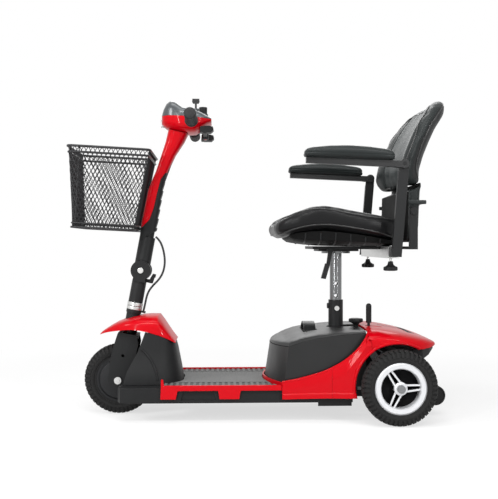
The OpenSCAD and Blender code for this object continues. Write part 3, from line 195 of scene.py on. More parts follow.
class ScooterColours(bpy.types.PropertyGroup):
    """Base colours of the finishes."""

    body_red: bpy.props.FloatVectorProperty(
        name="Body red", description="Glossy mouldings", default=(0.54, 0.0006, 0.006), **COLOUR)
    moulding_black: bpy.props.FloatVectorProperty(
        name="Moulding black", description="Grained plastic mouldings",
        default=(0.0095, 0.0098, 0.0102), **COLOUR)
    console_grey: bpy.props.FloatVectorProperty(
        name="Console grey", description="Gunmetal console",
        default=(0.052, 0.058, 0.062), **COLOUR)
    rim_silver: bpy.props.FloatVectorProperty(
        name="Rim silver", description="Painted rear rims", default=(0.72, 0.73, 0.75), **COLOUR)
    seat_black: bpy.props.FloatVectorProperty(
        name="Seat vinyl", description="Vinyl of the seat cushion",
        default=(0.0070, 0.0070, 0.0074), **COLOUR)
    back_grey: bpy.props.FloatVectorProperty(
        name="Backrest vinyl", description="Vinyl of the backrest and armrests",
        default=(0.022, 0.0265, 0.0265), **COLOUR)
    mat_grey: bpy.props.FloatVectorProperty(
        name="Mat rubber", description="Floor mat", default=(0.066, 0.067, 0.066), **COLOUR)


# Finishes


class Wire:
    """A node's output that takes part in Python expressions."""

    def __init__(self, nodes, socket):
        self.nodes = nodes
        self.socket = socket

    def _maths(self, operation, other):
        return self.nodes.node("ShaderNodeMath", {"operation": operation}, {0: self, 1: other})

    def __add__(self, other):
        return self._maths("ADD", other)

    def __mul__(self, other):
        return self._maths("MULTIPLY", other)

    def __gt__(self, other):
        return self._maths("GREATER_THAN", other)

    def __lt__(self, other):
        return self._maths("LESS_THAN", other)

    def __or__(self, other):
        return self._maths("MAXIMUM", other)

    __radd__ = __add__
    __rmul__ = __mul__
    __ror__ = __or__


class Nodes:
    """The node tree of a material or a world."""

    def __init__(self, tree):
        self.tree = tree

    def node(self, kind, settings=None, inputs=None, out=0):
        """Adds a node: its settings first, then the values or links of its sockets."""
        made = self.tree.nodes.new(kind)
        for key, value in (settings or {}).items():
            setattr(made, key, value)
        for key, value in (inputs or {}).items():
            if isinstance(value, Wire):
                self.tree.links.new(value.socket, made.inputs[key])
            else:
                made.inputs[key].default_value = value
        return Wire(self, made.outputs[out])

    def white(self, kind, strength):
        return self.node(kind, None, {"Color": (1, 1, 1, 1), "Strength": strength})

    def mixed(self, share, first, second):
        return self.node("ShaderNodeMixShader", None, {0: share, 1: first, 2: second})

    def seen(self):
        """1 where a camera, glossy or transmitted ray looks, 0 for light."""
        camera, glossy, through = (
            self.node("ShaderNodeLightPath", out=f"Is {ray} Ray")
            for ray in ("Camera", "Glossy", "Transmission"))
        return camera | glossy | through


class Finish(Nodes):
    """A procedural material on object coordinates."""

    def __init__(self, name, colour, **constants):
        self.material = bpy.data.materials.new(name)
        self.material.use_nodes = True
        self.material.diffuse_color = (*colour, 1)
        super().__init__(self.material.node_tree)
        self.shader = self.tree.nodes["Principled BSDF"]
        self.colour = tuple(colour)
        self.shader.inputs["Base Color"].default_value = (*colour, 1)
        for key, value in constants.items():
            socket = key.replace("_", " ").title().replace("Ior", "IOR")
            self.shader.inputs[socket].default_value = value
        self.place = self.node("ShaderNodeTexCoord", out="Object")

    def noise(self, scale, detail, rough=0.5, stretch=None):
        place = self.place
        if stretch:
            place = self.node("ShaderNodeMapping", None, {"Vector": place, "Scale": stretch})
        return self.node("ShaderNodeTexNoise", None, {
            "Vector": place, "Scale": scale, "Detail": detail, "Roughness": rough})

    def cells(self, scale, feature="DISTANCE_TO_EDGE"):
        return self.node("ShaderNodeTexVoronoi", {"feature": feature}, {
            "Vector": self.place, "Scale": scale})

    def height(self):
        return self.node("ShaderNodeSeparateXYZ", None, {"Vector": self.place}, out="Z")

    def feed(self, socket, wire):
        self.tree.links.new(wire.socket, self.shader.inputs[socket])
        return self

    def tint(self, mask, other):
        """Blends the base colour towards another by a mask."""
        # Sockets 6 and 7 of a Mix node are its two colours, and output 2 is the blend
        return self.feed("Base Color", self.node("ShaderNodeMix", {"data_type": "RGBA"}, {
            0: mask, 6: (*self.colour, 1), 7: (*other, 1)}, out=2))

    def rough(self, low, high, mask):
        """Roughness between two values by a mask; the bare socket holds the middle one."""
        self.shader.inputs["Roughness"].default_value = (low + high) / 2
        return self.feed("Roughness", mask * (high - low) + low)

    def bump(self, height, depth):
        """Relief of a height between 0 and 1, depth metres deep."""
        return self.feed("Normal", self.node("ShaderNodeBump", None, {
            "Height": height, "Distance": depth, "Strength": 1.0}))


def lighter(colour, by):
    return tuple(min(1.0, c * by) for c in colour)


def grey(value):
    return (value, value, value)


def cloudy(name, colour, other, cloud, share, rough, depth, relief=None, shine=0.5, **constants):
    """A finish that one cloud tints and roughens.

    relief is the scale and detail of a finer noise or a function that makes a pattern, and
    without it the cloud itself is raised.
    """
    made = Finish(name, colour, specular_ior_level=shine, **constants)
    mask = made.noise(*cloud)
    made.tint(mask * share, other).rough(*rough, mask)
    if callable(relief):
        return made.bump(relief(made), depth)
    return made.bump(made.noise(*relief) if relief else mask, depth)


def vinyl(name, colour, low, high, scale, shine):
    """Embossed upholstery vinyl: a pebble grain with fine creases, and patches of wear that pale it
    and change its sheen.
    """
    made = Finish(name, colour, specular_ior_level=shine, coat_weight=0.06, coat_roughness=0.3)
    pebble = made.cells(scale)
    crease = made.noise(75, 5, 0.6)
    paler_share = made.noise(13, 4)
    made.tint(paler_share * 0.5 + pebble * 0.2, lighter(colour, 1.7)).rough(low, high, paler_share)
    return made.bump(pebble * 0.8 + crease * 0.5, 9e-5)


def make_finishes():
    """Every finish of the scooter, by name."""
    c = bpy.context.scene.scooter_colours
    red, black = c.body_red, c.moulding_black
    made = {
        "red": cloudy(
            "red_gloss_moulding", red, lighter(red, 0.74), (9, 4), 0.25, (0.24, 0.36), 2e-5,
            (420, 2), 0.02, coat_weight=0.22, coat_roughness=0.05),
        "black": cloudy(
            "black_grained_moulding", black, lighter(black, 1.9), (16, 4), 0.45, (0.40, 0.58),
            6e-5, lambda f: f.cells(1300) + f.noise(900, 2) * 0.6, 0.17),
        "satin": cloudy(
            "black_satin_moulding", lighter(black, 0.8), lighter(black, 1.4), (22, 4), 0.4,
            (0.34, 0.48), 4e-5, (1500, 3), 0.36),
        "coat": cloudy(
            "black_powder_coat", lighter(black, 1.1), lighter(black, 1.8), (35, 6, 0.65), 0.45,
            (0.36, 0.55), 1.2e-4, (700, 2), 0.18),
        "rubber": cloudy(
            "tyre_rubber", (0.011, 0.011, 0.0115), (0.036, 0.0355, 0.034), (38, 6, 0.62), 0.5,
            (0.60, 0.86), 1.2e-4, (850, 3), 0.16),
        "grip": cloudy(
            "grip_rubber", (0.010, 0.010, 0.0105), (0.035, 0.035, 0.036), (60, 4), 0.5,
            (0.5, 0.72), 1.5e-4, lambda f: f.cells(900), 0.28),
        "steel": cloudy(
            "brushed_steel", (0.20, 0.203, 0.207), (0.11, 0.112, 0.115),
            (90, 5, 0.6, (14, 14, 0.6)), 0.45, (0.13, 0.28), 5e-5, metallic=1.0),
        "bolt": cloudy(
            "zinc_bolt", (0.66, 0.66, 0.65), (0.40, 0.40, 0.39), (160, 4), 0.5, (0.22, 0.45),
            6e-5, metallic=1.0),
        "cast": cloudy(
            "cast_alloy", (0.24, 0.245, 0.25), (0.11, 0.11, 0.115), (240, 5, 0.6), 0.6,
            (0.4, 0.65), 3e-4, metallic=0.8),
        "disc": cloudy(
            "grey_wheel_disc", (0.014, 0.0145, 0.0155), (0.026, 0.0265, 0.028), (30, 4), 0.5,
            (0.38, 0.56), 1e-4, (900, 3), 0.18),
        # Near black: the dark seal of the battery lid, and the painted shade in the dish of each
        # rear rim
        "hollow": cloudy(
            "wheel_recess", (0.005, 0.005, 0.0055), (0.014, 0.014, 0.0145), (45, 4), 0.5,
            (0.5, 0.7), 1e-4, (700, 3), 0.02),
        # Black of the seat pan and of the tail's front, and the painted shade in the hood's lever
        # slot
        "pan": cloudy(
            "black_seat_pan", grey(0.007), grey(0.012), (28, 4), 0.5, (0.42, 0.6), 8e-5,
            lambda f: f.cells(900), 0.03),
        "piping": cloudy(
            "vinyl_piping", grey(0.009), grey(0.03), (260, 3), 0.4, (0.3, 0.5), 1.5e-4),
        "sheath": cloudy(
            "cable_sheath", (0.011, 0.011, 0.012), (0.04, 0.04, 0.042), (70, 4), 0.5,
            (0.34, 0.52), 8e-5, (1200, 2), 0.32),
        "net": cloudy(
            "black_wire_coating", (0.010, 0.010, 0.011), (0.028, 0.028, 0.030), (220, 4), 0.5,
            (0.32, 0.55), 1.8e-4, shine=0.32),
        "horn": cloudy(
            "amber_button", (0.55, 0.28, 0.012), (0.36, 0.17, 0.008), (120, 3), 0.4,
            (0.28, 0.45), 6e-5, (900, 2)),
        "cell": cloudy(
            "battery_cell_case", (0.05, 0.055, 0.06), (0.09, 0.095, 0.1), (40, 3), 0.4,
            (0.32, 0.5), 1e-4, (700, 2)),
        "seat": vinyl("black_seat_vinyl", c.seat_black, 0.30, 0.46, 380, 0.11),
        "back": vinyl("grey_backrest_vinyl", c.back_grey, 0.48, 0.64, 420, 0.10),
        "bolster": vinyl(
            "dark_bolster_vinyl", lighter(c.back_grey, 0.58), 0.36, 0.52, 420, 0.16),
    }

    silver = Finish("silver_wheel_paint", c.rim_silver, metallic=0.35, coat_weight=0.25)
    flake, cloud = silver.cells(2600, "F1"), silver.noise(26, 3)
    silver.tint(flake * 0.3 + cloud * 0.12, lighter(c.rim_silver, 0.72)).rough(0.26, 0.42, cloud)
    made["silver"] = silver.bump(silver.noise(500, 2), 5e-5)

    gun = Finish(
        "gunmetal_console", c.console_grey, metallic=0.2, specular_ior_level=0.4,
        coat_weight=0.15, coat_roughness=0.08)
    gun.tint(gun.noise(1400, 2) * 0.35, lighter(c.console_grey, 1.8))
    made["gunmetal"] = gun.rough(0.2, 0.34, gun.noise(20, 3)).bump(gun.noise(480, 2), 5e-5)

    mat = Finish("ribbed_mat_rubber", c.mat_grey, specular_ior_level=0.28)
    dust = mat.noise(55, 6, 0.65)
    # Faces above the grooves are painted paler, mottled by the dust; the grooves under the ribs
    # stay darker as painted shade
    paler_share = (mat.height() > MAT_GROOVE) * (dust * 0.6 + 0.25)
    mat.tint(paler_share, lighter(c.mat_grey, 2.6)).rough(0.56, 0.82, dust)
    made["mat"] = mat.bump(mat.noise(650, 3), 1.2e-4)

    lens = Finish("clear_lamp_lens", (0.86, 0.88, 0.9), ior=1.49, transmission_weight=0.55)
    flutes = lens.node("ShaderNodeTexWave", {"bands_direction": "Y"}, {
        "Vector": lens.place, "Scale": 70.0})
    lens.tint(flutes * 0.4, (0.62, 0.66, 0.7)).rough(0.05, 0.14, flutes)
    made["lens"] = lens.bump(flutes, 6e-4)
    return made


FINISHES = {}

# Rigid parts that keep their shape from the frame: a finish, then the nodes that wear it
WEARERS = {
    "red": ["deck_trims", "front_cowl", "rear_shroud", "tiller_cover_front", "head_shell"],
    "black": ["deck_pan", "leg_shield", "rear_bumper", "freewheel_lever", "tilt_lock_lever",
              "speed_dial", "throttle_paddles", "tiller_cover_rear"],
    "pan": ["seat_pan"],
    "satin": ["battery_case", "battery_lid", "battery_handle", "arm_bar_left", "arm_bar_right",
              "ignition_key"],
    "coat": ["main_frame", "seat_socket", "fork", "steering_stem", "tiller_stem", "seat_base",
             "arm_leg_left", "arm_leg_right", "swivel_lever"],
    "cast": ["drive_motor", "transaxle"],
    "steel": ["seat_post", "rear_axle_left", "rear_axle_right"],
    "bolt": ["frame_bolts", "stem_hardware", "front_axle"],
    "silver": ["rear_rim_left", "rear_rim_right"],
    "disc": ["front_rim"],
    "rubber": ["anti_tip_wheels"],
    "gunmetal": ["console"],
    "mat": ["deck_mat"],
    "lens": ["headlight_lens"],
    "horn": ["horn_button"],
    "cell": ["battery_cells"],
}
# How many times the usual edge rounding the large mouldings have
ROUNDER = {
    "deck_pan": 4.5, "battery_case": 1.6, "battery_lid": 1.6, "rear_shroud": 2.2,
    "front_cowl": 1.8, "leg_shield": 3, "head_shell": 2, "console": 2, "deck_trims": 1.6,
}
UNROUNDED = ("deck_mat", "battery_cells", "frame_bolts")


# Modelling helpers


def only(obj):
    """Leaves obj as the one selected and active object."""
    bpy.ops.object.select_all(action="DESELECT")
    obj.select_set(True)
    bpy.context.view_layer.objects.active = obj


def edit(obj, mode="VERT"):
    """Opens a mesh in edit mode with all of it selected."""
    only(obj)
    bpy.ops.object.mode_set(mode="EDIT")
    bpy.ops.mesh.select_mode(type=mode)
    bpy.ops.mesh.select_all(action="SELECT")


def pick(obj, test, kind="faces"):
    """Selects the faces, edges or vertices of the mesh in edit mode that pass a test."""
    mesh = bmesh.from_edit_mesh(obj.data)
    bpy.ops.mesh.select_all(action="DESELECT")
    for part in getattr(mesh, kind):
        if test(part):
            part.select_set(True)
    mesh.select_flush_mode()
    bmesh.update_edit_mesh(obj.data)


def done():
    bpy.ops.object.mode_set(mode="OBJECT")


def weld():
    """Merges the doubles of the mesh in edit mode, turns its faces outwards and closes it."""
    bpy.ops.mesh.select_all(action="SELECT")
    bpy.ops.mesh.remove_doubles(threshold=WELD)
    bpy.ops.mesh.normals_make_consistent(inside=False)
    done()


def nudge(obj, move, test=lambda v: True):
    """Moves the points of a mesh that pass a test."""
    edit(obj)
    pick(obj, test, "verts")
    bpy.ops.transform.translate(value=move)
    done()


def apply_modifier(obj, kind, **settings):
    only(obj)
    made = obj.modifiers.new(kind.lower(), kind)
    for key, value in settings.items():
        setattr(made, key, value)
    bpy.ops.object.modifier_apply(modifier=made.name)


def smooth(obj, degrees):
    only(obj)
    bpy.ops.object.shade_smooth_by_angle(angle=math.radians(degrees))


def wear(obj, finish, node, rides=True):
    """Gives a finished piece its material, slot and body, and hides the CAD node that it stands
    for.
    """
    obj.data.materials.clear()
    obj.data.materials.append(FINISHES[finish].material)
    if rides:
        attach(obj, BODY_OF[node])
    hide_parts(node)


def paint(obj, finish, test):
    """Gives the faces that pass a test another finish."""
    obj.data.materials.append(FINISHES[finish].material)
    for face in obj.data.polygons:
        if test(face):
            face.material_index = len(obj.data.materials) - 1


def copy_of(node, name):
    """A merged copy of a CAD node with its flat faces joined up."""
    obj = bpy.data.objects.new(name, frame["nodes"][node].data.copy())
    obj.data.name = name
    bpy.context.collection.objects.link(obj)
    edit(obj)
    bpy.ops.mesh.customdata_custom_splitnormals_clear()
    bpy.ops.mesh.remove_doubles(threshold=MERGE)
    bpy.ops.mesh.dissolve_limited(angle_limit=math.radians(FLAT))
    done()
    return obj


def lathe(name, centre, axis, profile, segments, closed=True):
    """Turns a profile of (radius, place along the axis) round a Y or Z axis, ring by ring."""
    centre, axis = Vector(centre), Vector(axis)
    r, far = profile[0]
    upright = abs(axis.z) > 0.5
    bpy.ops.object.select_all(action="DESELECT")
    bpy.ops.mesh.primitive_circle_add(
        vertices=segments, radius=r, location=centre + axis * far,
        rotation=(0 if upright else math.pi / 2, 0, 0))
    obj = bpy.context.object
    obj.name = obj.data.name = name
    bpy.ops.object.transform_apply(location=True, rotation=True, scale=True)
    edit(obj, "EDGE")
    for next_r, next_far in profile[1:]:
        bpy.ops.mesh.extrude_edges_move(
            TRANSFORM_OT_translate={"value": axis * (next_far - far)})
        grow = next_r / r
        bpy.ops.transform.resize(
            value=(grow, grow, 1) if upright else (grow, 1, grow),
            center_override=centre + axis * next_far)
        r, far = next_r, next_far
    if closed:
        pick(obj, lambda e: e.is_boundary, "edges")
        bpy.ops.mesh.bridge_edge_loops()
    weld()
    return obj


def cap_ends(obj, first):
    """Fills the open ends of a turned piece, first the one whose edges pass a test."""
    edit(obj, "EDGE")
    for test in (first, lambda e: True):
        pick(obj, lambda e: e.is_boundary and test(e), "edges")
        bpy.ops.mesh.fill()
    weld()


def spline(points, per_span):
    """Dense points on a smooth curve through the given ones."""
    p = np.array(points, float)
    ends = np.vstack([2 * p[0] - p[1], p, 2 * p[-1] - p[-2]])
    out = []
    for a, b, c, d in zip(ends, ends[1:], ends[2:], ends[3:]):
        for k in range(per_span):
            t = k / per_span
            out.append(0.5 * ((2 * b) + (c - a) * t + (2 * a - 5 * b + 4 * c - d) * t * t
                              + (3 * b - a - 3 * c + d) * t ** 3))
    return np.vstack([out, p[-1]])


def tube(name, points, radius, resolution=4, closed=False):
    """A round bar along points, made as a curve and turned into a mesh."""
    curve = bpy.data.curves.new(name, "CURVE")
    curve.dimensions = "3D"
    curve.bevel_depth = radius
    curve.bevel_resolution = resolution
    curve.use_fill_caps = not closed
    line = curve.splines.new("POLY")
    line.points.add(len(points) - 1)
    for spot, at in zip(line.points, points):
        spot.co = (*at, 1)
    line.use_cyclic_u = closed
    obj = bpy.data.objects.new(name, curve)
    bpy.context.collection.objects.link(obj)
    only(obj)
    bpy.ops.object.convert(target="MESH")
    obj = bpy.context.object
    obj.name = obj.data.name = name
    edit(obj)
    weld()
    smooth(obj, 50)
    return obj


def joined(name, first, *others):
    only(first)
    for part in others:
        part.select_set(True)
    bpy.ops.object.join()
    first.name = first.data.name = name
    return first


def places(obj, kind="co"):
    """The places of a mesh's points, or their normals, one in each row."""
    out = np.empty(len(obj.data.vertices) * 3)
    obj.data.vertices.foreach_get(kind, out)
    return out.reshape(-1, 3)


def normals(obj):
    return places(obj, "normal")


def put(obj, co):
    obj.data.vertices.foreach_set("co", np.ascontiguousarray(co, float).ravel())
    obj.data.update()


def beside(obj, x, z, side, least=0.0):
    """Where a level ray from one side meets a piece, or None nearer the middle than least."""
    hit, at, _, _ = obj.ray_cast(Vector((x, side * OUTSIDE, z)), Vector((0, -side, 0)))
    return at if hit and side * at.y > least else None


def arch_line(obj, axle, arch, side, least=0.0):
    """Points on one side of a moulding along an arch round an axle."""
    radius, degrees = arch
    turns = [math.radians(d) for d in degrees]
    found = [
        beside(obj, axle.x + radius * math.cos(a), axle.z + radius * math.sin(a), side, least)
        for a in turns]
    return [at for at in found if at is not None]


def behind_rear_axle(route, side):
    return [(REAR_AXLE + x * MM, side * y * MM, z * MM) for x, y, z in route]


def swell(obj, cap, pressure=4.0, frames=20):
    """Rounds a padded form by air pressure, as foam under a sewn cover, no point past cap."""
    start = places(obj)
    only(obj)
    cloth = obj.modifiers.new("cover", "CLOTH")
    for key, value in COVER_CLOTH.items():
        setattr(cloth.settings, key, value)
    cloth.settings.uniform_pressure_force = pressure
    cloth.settings.effector_weights.gravity = 0
    scene = bpy.context.scene
    for step in range(1, frames + 1):
        scene.frame_set(step)
    held = obj.evaluated_get(bpy.context.evaluated_depsgraph_get())
    moved = np.array([v.co[:] for v in held.data.vertices]) - start
    obj.modifiers.remove(cloth)
    scene.frame_set(1)
    far = np.linalg.norm(moved, axis=1, keepdims=True)
    put(obj, start + moved * np.minimum(1, cap / np.maximum(far, 1e-9)))


def remesh(obj, voxel, passes):
    apply_modifier(obj, "REMESH", mode="VOXEL", voxel_size=voxel)
    apply_modifier(obj, "SMOOTH", factor=0.5, iterations=passes)


def swollen(obj, passes):
    """Swells a seat cushion to the size that is set, then evens and refines its cover."""
    swell(obj, bpy.context.scene.scooter_sizes.seat_rise)
    apply_modifier(obj, "SMOOTH", factor=0.5, iterations=passes)
    apply_modifier(obj, "SUBSURF", levels=1, render_levels=1)


def press_line(obj, distance, where, depth, width):
    """Draws the cover in along a seam, by each point's distance from it and a mask."""
    pull = depth * np.exp(-(distance / width) ** 2) * where
    put(obj, places(obj) - normals(obj) * pull[:, None])


def edge_line(obj, turn, one, two, reach):
    """Points along the rounded edge where the surface faces two ways alike, by turn in degrees."""
    step, least, nearest = 3, 0.25, 5
    co = places(obj)
    off = np.where((one > least) & (two > least), np.abs(one - two), np.inf)
    bins = np.linspace(-reach, reach, 2 * reach // step + 1)
    out = []
    for low, high in zip(bins[:-1], bins[1:]):
        inside = np.flatnonzero((turn >= low) & (turn < high))
        out.append(co[inside[np.argsort(off[inside])[:nearest]]].mean(0))
    line = np.array(out)
    for passes in (16, 3):
        for _ in range(passes):
            line[1:-1] = (line[:-2] + 2 * line[1:-1] + line[2:]) / 4
        line = np.array([obj.closest_point_on_mesh(Vector(at))[1] for at in line])
    return line


def lay_piping(obj, node, centre, flat, ahead, reach, radius, edges):
    """Sews piping along a cushion's edges, round a centre in the plane of two axes.

    flat masks the plane's axes, ahead is where the turn starts, reach how many degrees the
    piping runs to each side of it, and edges gives each line's name and the way its face looks.
    """
    n = normals(obj)
    out = (places(obj) - centre) * flat
    out /= np.linalg.norm(out, axis=1)[:, None]
    turn = np.degrees(np.arctan2(out[:, 1], out @ ahead))
    for name, face in edges:
        line = edge_line(obj, turn, (n * out).sum(1), n @ face, reach)
        wear(tube(name, spline(line, 2), radius, 3), "piping", node)


# Operators, one for each group of pieces


class SCOOTER_OT_rigid_parts(bpy.types.Operator):
    """Softens the edges of the rigid parts and gives each its finish"""

    bl_idname = "scooter.rigid_parts"
    bl_label = "Rigid parts"

    def slim_trim_tabs(self, obj):
        """Draws the front tabs of the side trims in to a narrow upright."""
        front = corners("deck_trims")[0].x
        for reach, height, shift in ((0.014, 0.115, -0.0062), (0.026, 0.104, -0.0165)):
            nudge(obj, (shift, 0, 0),
                  lambda v: abs(v.co.x - front - reach) < MM and v.co.z > height)

    def fold_skirt_tips(self, obj):
        """Turns the upper tips of the side skirts in against the crown of the hood."""
        tip, height, out, fold = REAR_AXLE - 0.072, 0.245, 0.16, 0.026
        for side in SIDES:
            nudge(obj, (-MM, -side * fold, -MM), lambda v: abs(v.co.x - tip) < MM
                  and v.co.z > height and side * v.co.y > out)

    def second_finishes(self, obj, node):
        """Faces of one moulding or weldment that wear another finish."""
        hub = middle(node)

        def off_axle(face):
            return math.hypot(face.center.x - hub.x, face.center.z - hub.z)

        if node.startswith("rear_rim"):
            # The dish behind the spokes is painted near black: a painted shade in the wheel's
            # recess
            paint(obj, "hollow",
                  lambda f: off_axle(f) < DISH_RADIUS and abs(f.center.y) < DISH_FACE)
        elif node.startswith("rear_axle"):
            paint(obj, "cast", lambda f: off_axle(f) < AXLE_END)
        elif node == "rear_shroud":
            # The slot's faces are painted black: a painted shade in the groove
            paint(obj, "pan", lambda f: SLOT_Y[0] < f.center.y < SLOT_Y[1]
                  and SLOT_X[0] < f.center.x < SLOT_X[1])
        elif node == "seat_base":
            paint(obj, "bolt", lambda f: RECEIVER_X[0] < f.center.x < RECEIVER_X[1]
                  and f.center.z < RECEIVER_TOP)

    def fender_lips(self, shield):
        """Lays the raised wheel-arch lip on both sides of the leg shield."""
        axle = middle("front_axle")
        lines = [arch_line(shield, axle, FENDER_ARCH, side) for side in SIDES]
        lips = [tube("fender_lip", spline(line, 2), BEAD, 3) for line in lines]
        wear(joined("fender_lips", *lips), "black", "leg_shield")

    def beads(self, shroud):
        """Rolls the upper edge of each side skirt and the rim of each wheel arch."""
        axle = middle("rear_axle_left")
        made = []
        for side in SIDES:
            edge = behind_rear_axle(SKIRT_EDGE, side)
            made.append(tube("skirt_bead", spline(edge, 5), BEAD))
            arch = arch_line(shroud, axle, REAR_ARCH, side, least=0.13)
            made.append(tube("arch_bead", spline(arch, 2), ARCH_BEAD))
        wear(joined("shroud_beads", *made), "red", "rear_shroud")

    def lid_seam(self):
        """Lays the dark seal that shows between the battery's case and lid."""
        left, right = (behind_rear_axle(LID_SEAM, side) for side in SIDES)
        seal = tube("battery_lid_seal", left[::-1] + right, LID_SEAL, 2)
        wear(seal, "hollow", "battery_lid")

    def execute(self, context):
        FINISHES.update(make_finishes())
        width = context.scene.scooter_sizes.edge_round
        for finish, nodes in WEARERS.items():
            for node in nodes:
                obj = copy_of(node, node + "_finished")
                if node == "deck_trims":
                    self.slim_trim_tabs(obj)
                elif node == "rear_shroud":
                    self.fold_skirt_tips(obj)
                if width > 0 and node not in UNROUNDED:
                    apply_modifier(
                        obj, "BEVEL", width=width * ROUNDER.get(node, 1),
                        segments=3 if node in ROUNDER else 2, limit_method="ANGLE",
                        angle_limit=math.radians(38), use_clamp_overlap=True)
                smooth(obj, 34)
                apply_modifier(
                    obj, "WEIGHTED_NORMAL", mode="FACE_AREA", weight=50, keep_sharp=True)
                wear(obj, finish, node)
                self.second_finishes(obj, node)
                if node == "leg_shield":
                    self.fender_lips(obj)
                elif node == "rear_shroud":
                    self.beads(obj)
        self.lid_seam()
        return {"FINISHED"}


class SCOOTER_OT_knobs(bpy.types.Operator):
    """Models the lobed clamp knobs on their studs"""

    bl_idname = "scooter.knobs"
    bl_label = "Clamp knobs"

    def knob(self, node, way):
        """A lobed knob whose head is the top (way 1) or the foot (way -1) of the node's box."""
        lobes, lobe_depth, lobe_foot, lobe_rise, boss = 6, 0.17, 0.5, 0.4, 0.0265
        low, high = corners(node)
        centre = (low + high) / 2
        head = high.z if way > 0 else low.z
        size = (high.x - low.x) / 2
        tall = high.z - low.z
        section = [
            (0.0030, tall), (0.0036, tall - 0.001), (0.0036, boss), (0.0066, 0.0255),
            (0.0074, 0.0200), (0.0092, 0.0160), (0.0135, 0.0128), (size - 0.0016, 0.0112),
            (size, 0.0092), (size, 0.0024), (size - 0.0018, 0.0006), (size - 0.0060, 0.0),
            (0.0060, 0.0008), (0.0012, 0.0008)]
        obj = lathe(node + "_lobed", (centre.x, centre.y, head), (0, 0, -way), section,
                    segments=60, closed=False)
        cap_ends(obj, lambda e: abs(e.verts[0].co.z - head) < 0.01)
        co = places(obj)
        out = co[:, :2] - np.array([centre.x, centre.y])
        r = np.linalg.norm(out, axis=1)
        turn = np.arctan2(out[:, 1], out[:, 0])
        share = np.clip((r / size - lobe_foot) / lobe_rise, 0, 1)
        hollow = (0.5 - 0.5 * np.cos(lobes * turn)) ** 2
        co[:, :2] -= out * (lobe_depth * share * hollow)[:, None]
        put(obj, co)
        smooth(obj, 40)
        wear(obj, "black", node)
        paint(obj, "bolt", lambda f: abs(f.center.z - head) > boss)

    def execute(self, context):
        self.knob("arm_knob_left", -1)
        self.knob("arm_knob_right", -1)
        self.knob("lock_knob", 1)
        return {"FINISHED"}


class SCOOTER_OT_tyres(bpy.types.Operator):
    """Models the tyres with their shoulder blocks and centre rib"""

    bl_idname = "scooter.tyres"
    bl_label = "Tyres"

    def tyre(self, name, node, rim_r):
        """A tyre on a rim of a radius, its tread raised from a smooth turned base."""
        sizes = bpy.context.scene.scooter_sizes
        low, high = corners(node)
        centre = (low + high) / 2
        half = (high.y - low.y) / 2
        deep = sizes.tread_depth
        base = (high.z - low.z) / 2 - deep
        rib, groove, shoulder, side_wall = 0.0050, 0.0078, base - 0.0135, half - 0.012
        section = [
            (rim_r, -half + 0.006), (rim_r + 0.003, -half + 0.0022),
            (rim_r + 0.0045, -half + 0.003), (rim_r + 0.006, -half + 0.0016),
            (rim_r + 0.012, -half + 0.0008), (base - 0.0165, -half + 0.0012),
            (base - 0.009, -half + 0.0032), (base - 0.0035, -half + 0.0085),
            (base - 0.0006, -half + 0.0165), (base, -0.0075), (base - 0.0012, -0.0055),
            (base - 0.0012, -0.0052),
        ]
        section += [(r, -y) for r, y in reversed(section)]
        # Four faces go round for each block: three of them stand on the tread, two on the shoulder
        segments = sizes.tread_blocks * 4
        obj = lathe(name, centre, (0, 1, 0), section, segments)

        def block(face):
            at = face.calc_center_median() - centre
            if math.hypot(at.x, at.z) < shoulder or abs(at.y) < groove:
                return False
            turn = math.floor(math.atan2(at.z, at.x) / (2 * math.pi / segments))
            shift = 0 if at.y < 0 else 2
            return (turn + shift) % 4 < (3 if abs(at.y) < side_wall else 2)

        edit(obj, "FACE")
        for test in (block, lambda f: abs((f.calc_center_median() - centre).y) < rib):
            pick(obj, test)
            bpy.ops.mesh.extrude_region_shrink_fatten(
                TRANSFORM_OT_shrink_fatten={"value": deep, "use_even_offset": False})
        done()
        smooth(obj, 28)
        wear(obj, "rubber", node)

    def execute(self, context):
        self.tyre("front_tyre_tread", "front_tyre", rim_r=0.0700)
        self.tyre("rear_left_tyre_tread", "rear_tyre_left", rim_r=0.0705)
        self.tyre("rear_right_tyre_tread", "rear_tyre_right", rim_r=0.0705)
        return {"FINISHED"}


class SCOOTER_OT_grips(bpy.types.Operator):
    """Models the ribbed handlebar grips"""

    bl_idname = "scooter.grips"
    bl_label = "Handlebar grips"

    def execute(self, context):
        bar = middle("handlebar_grips")
        ribs, first_rib, rib_pitch, low, high = 11, 0.1215, 0.0092, 0.0158, 0.0165
        section = [(0.0111, 0.112), (0.0185, 0.112), (0.0190, 0.1135), (0.0185, 0.1165),
                   (low, 0.1185)]
        for i in range(ribs):
            y = first_rib + i * rib_pitch
            section += [(low, y), (high, y + 0.0012), (high, y + 0.0052), (low, y + 0.0064)]
        section += [(0.0160, 0.229), (0.0165, 0.231), (0.0152, 0.2352), (0.0125, 0.237),
                    (0.0040, 0.237)]
        parts = []
        for side in SIDES:
            obj = lathe(f"grip_{side}", (bar.x, 0, bar.z), (0, side, 0), section,
                        segments=48, closed=False)
            cap_ends(obj, lambda e: abs(e.verts[0].co.y) > 0.2)
            smooth(obj, 40)
            parts.append(obj)
        wear(joined("ribbed_grips", *parts), "grip", "handlebar_grips")
        return {"FINISHED"}


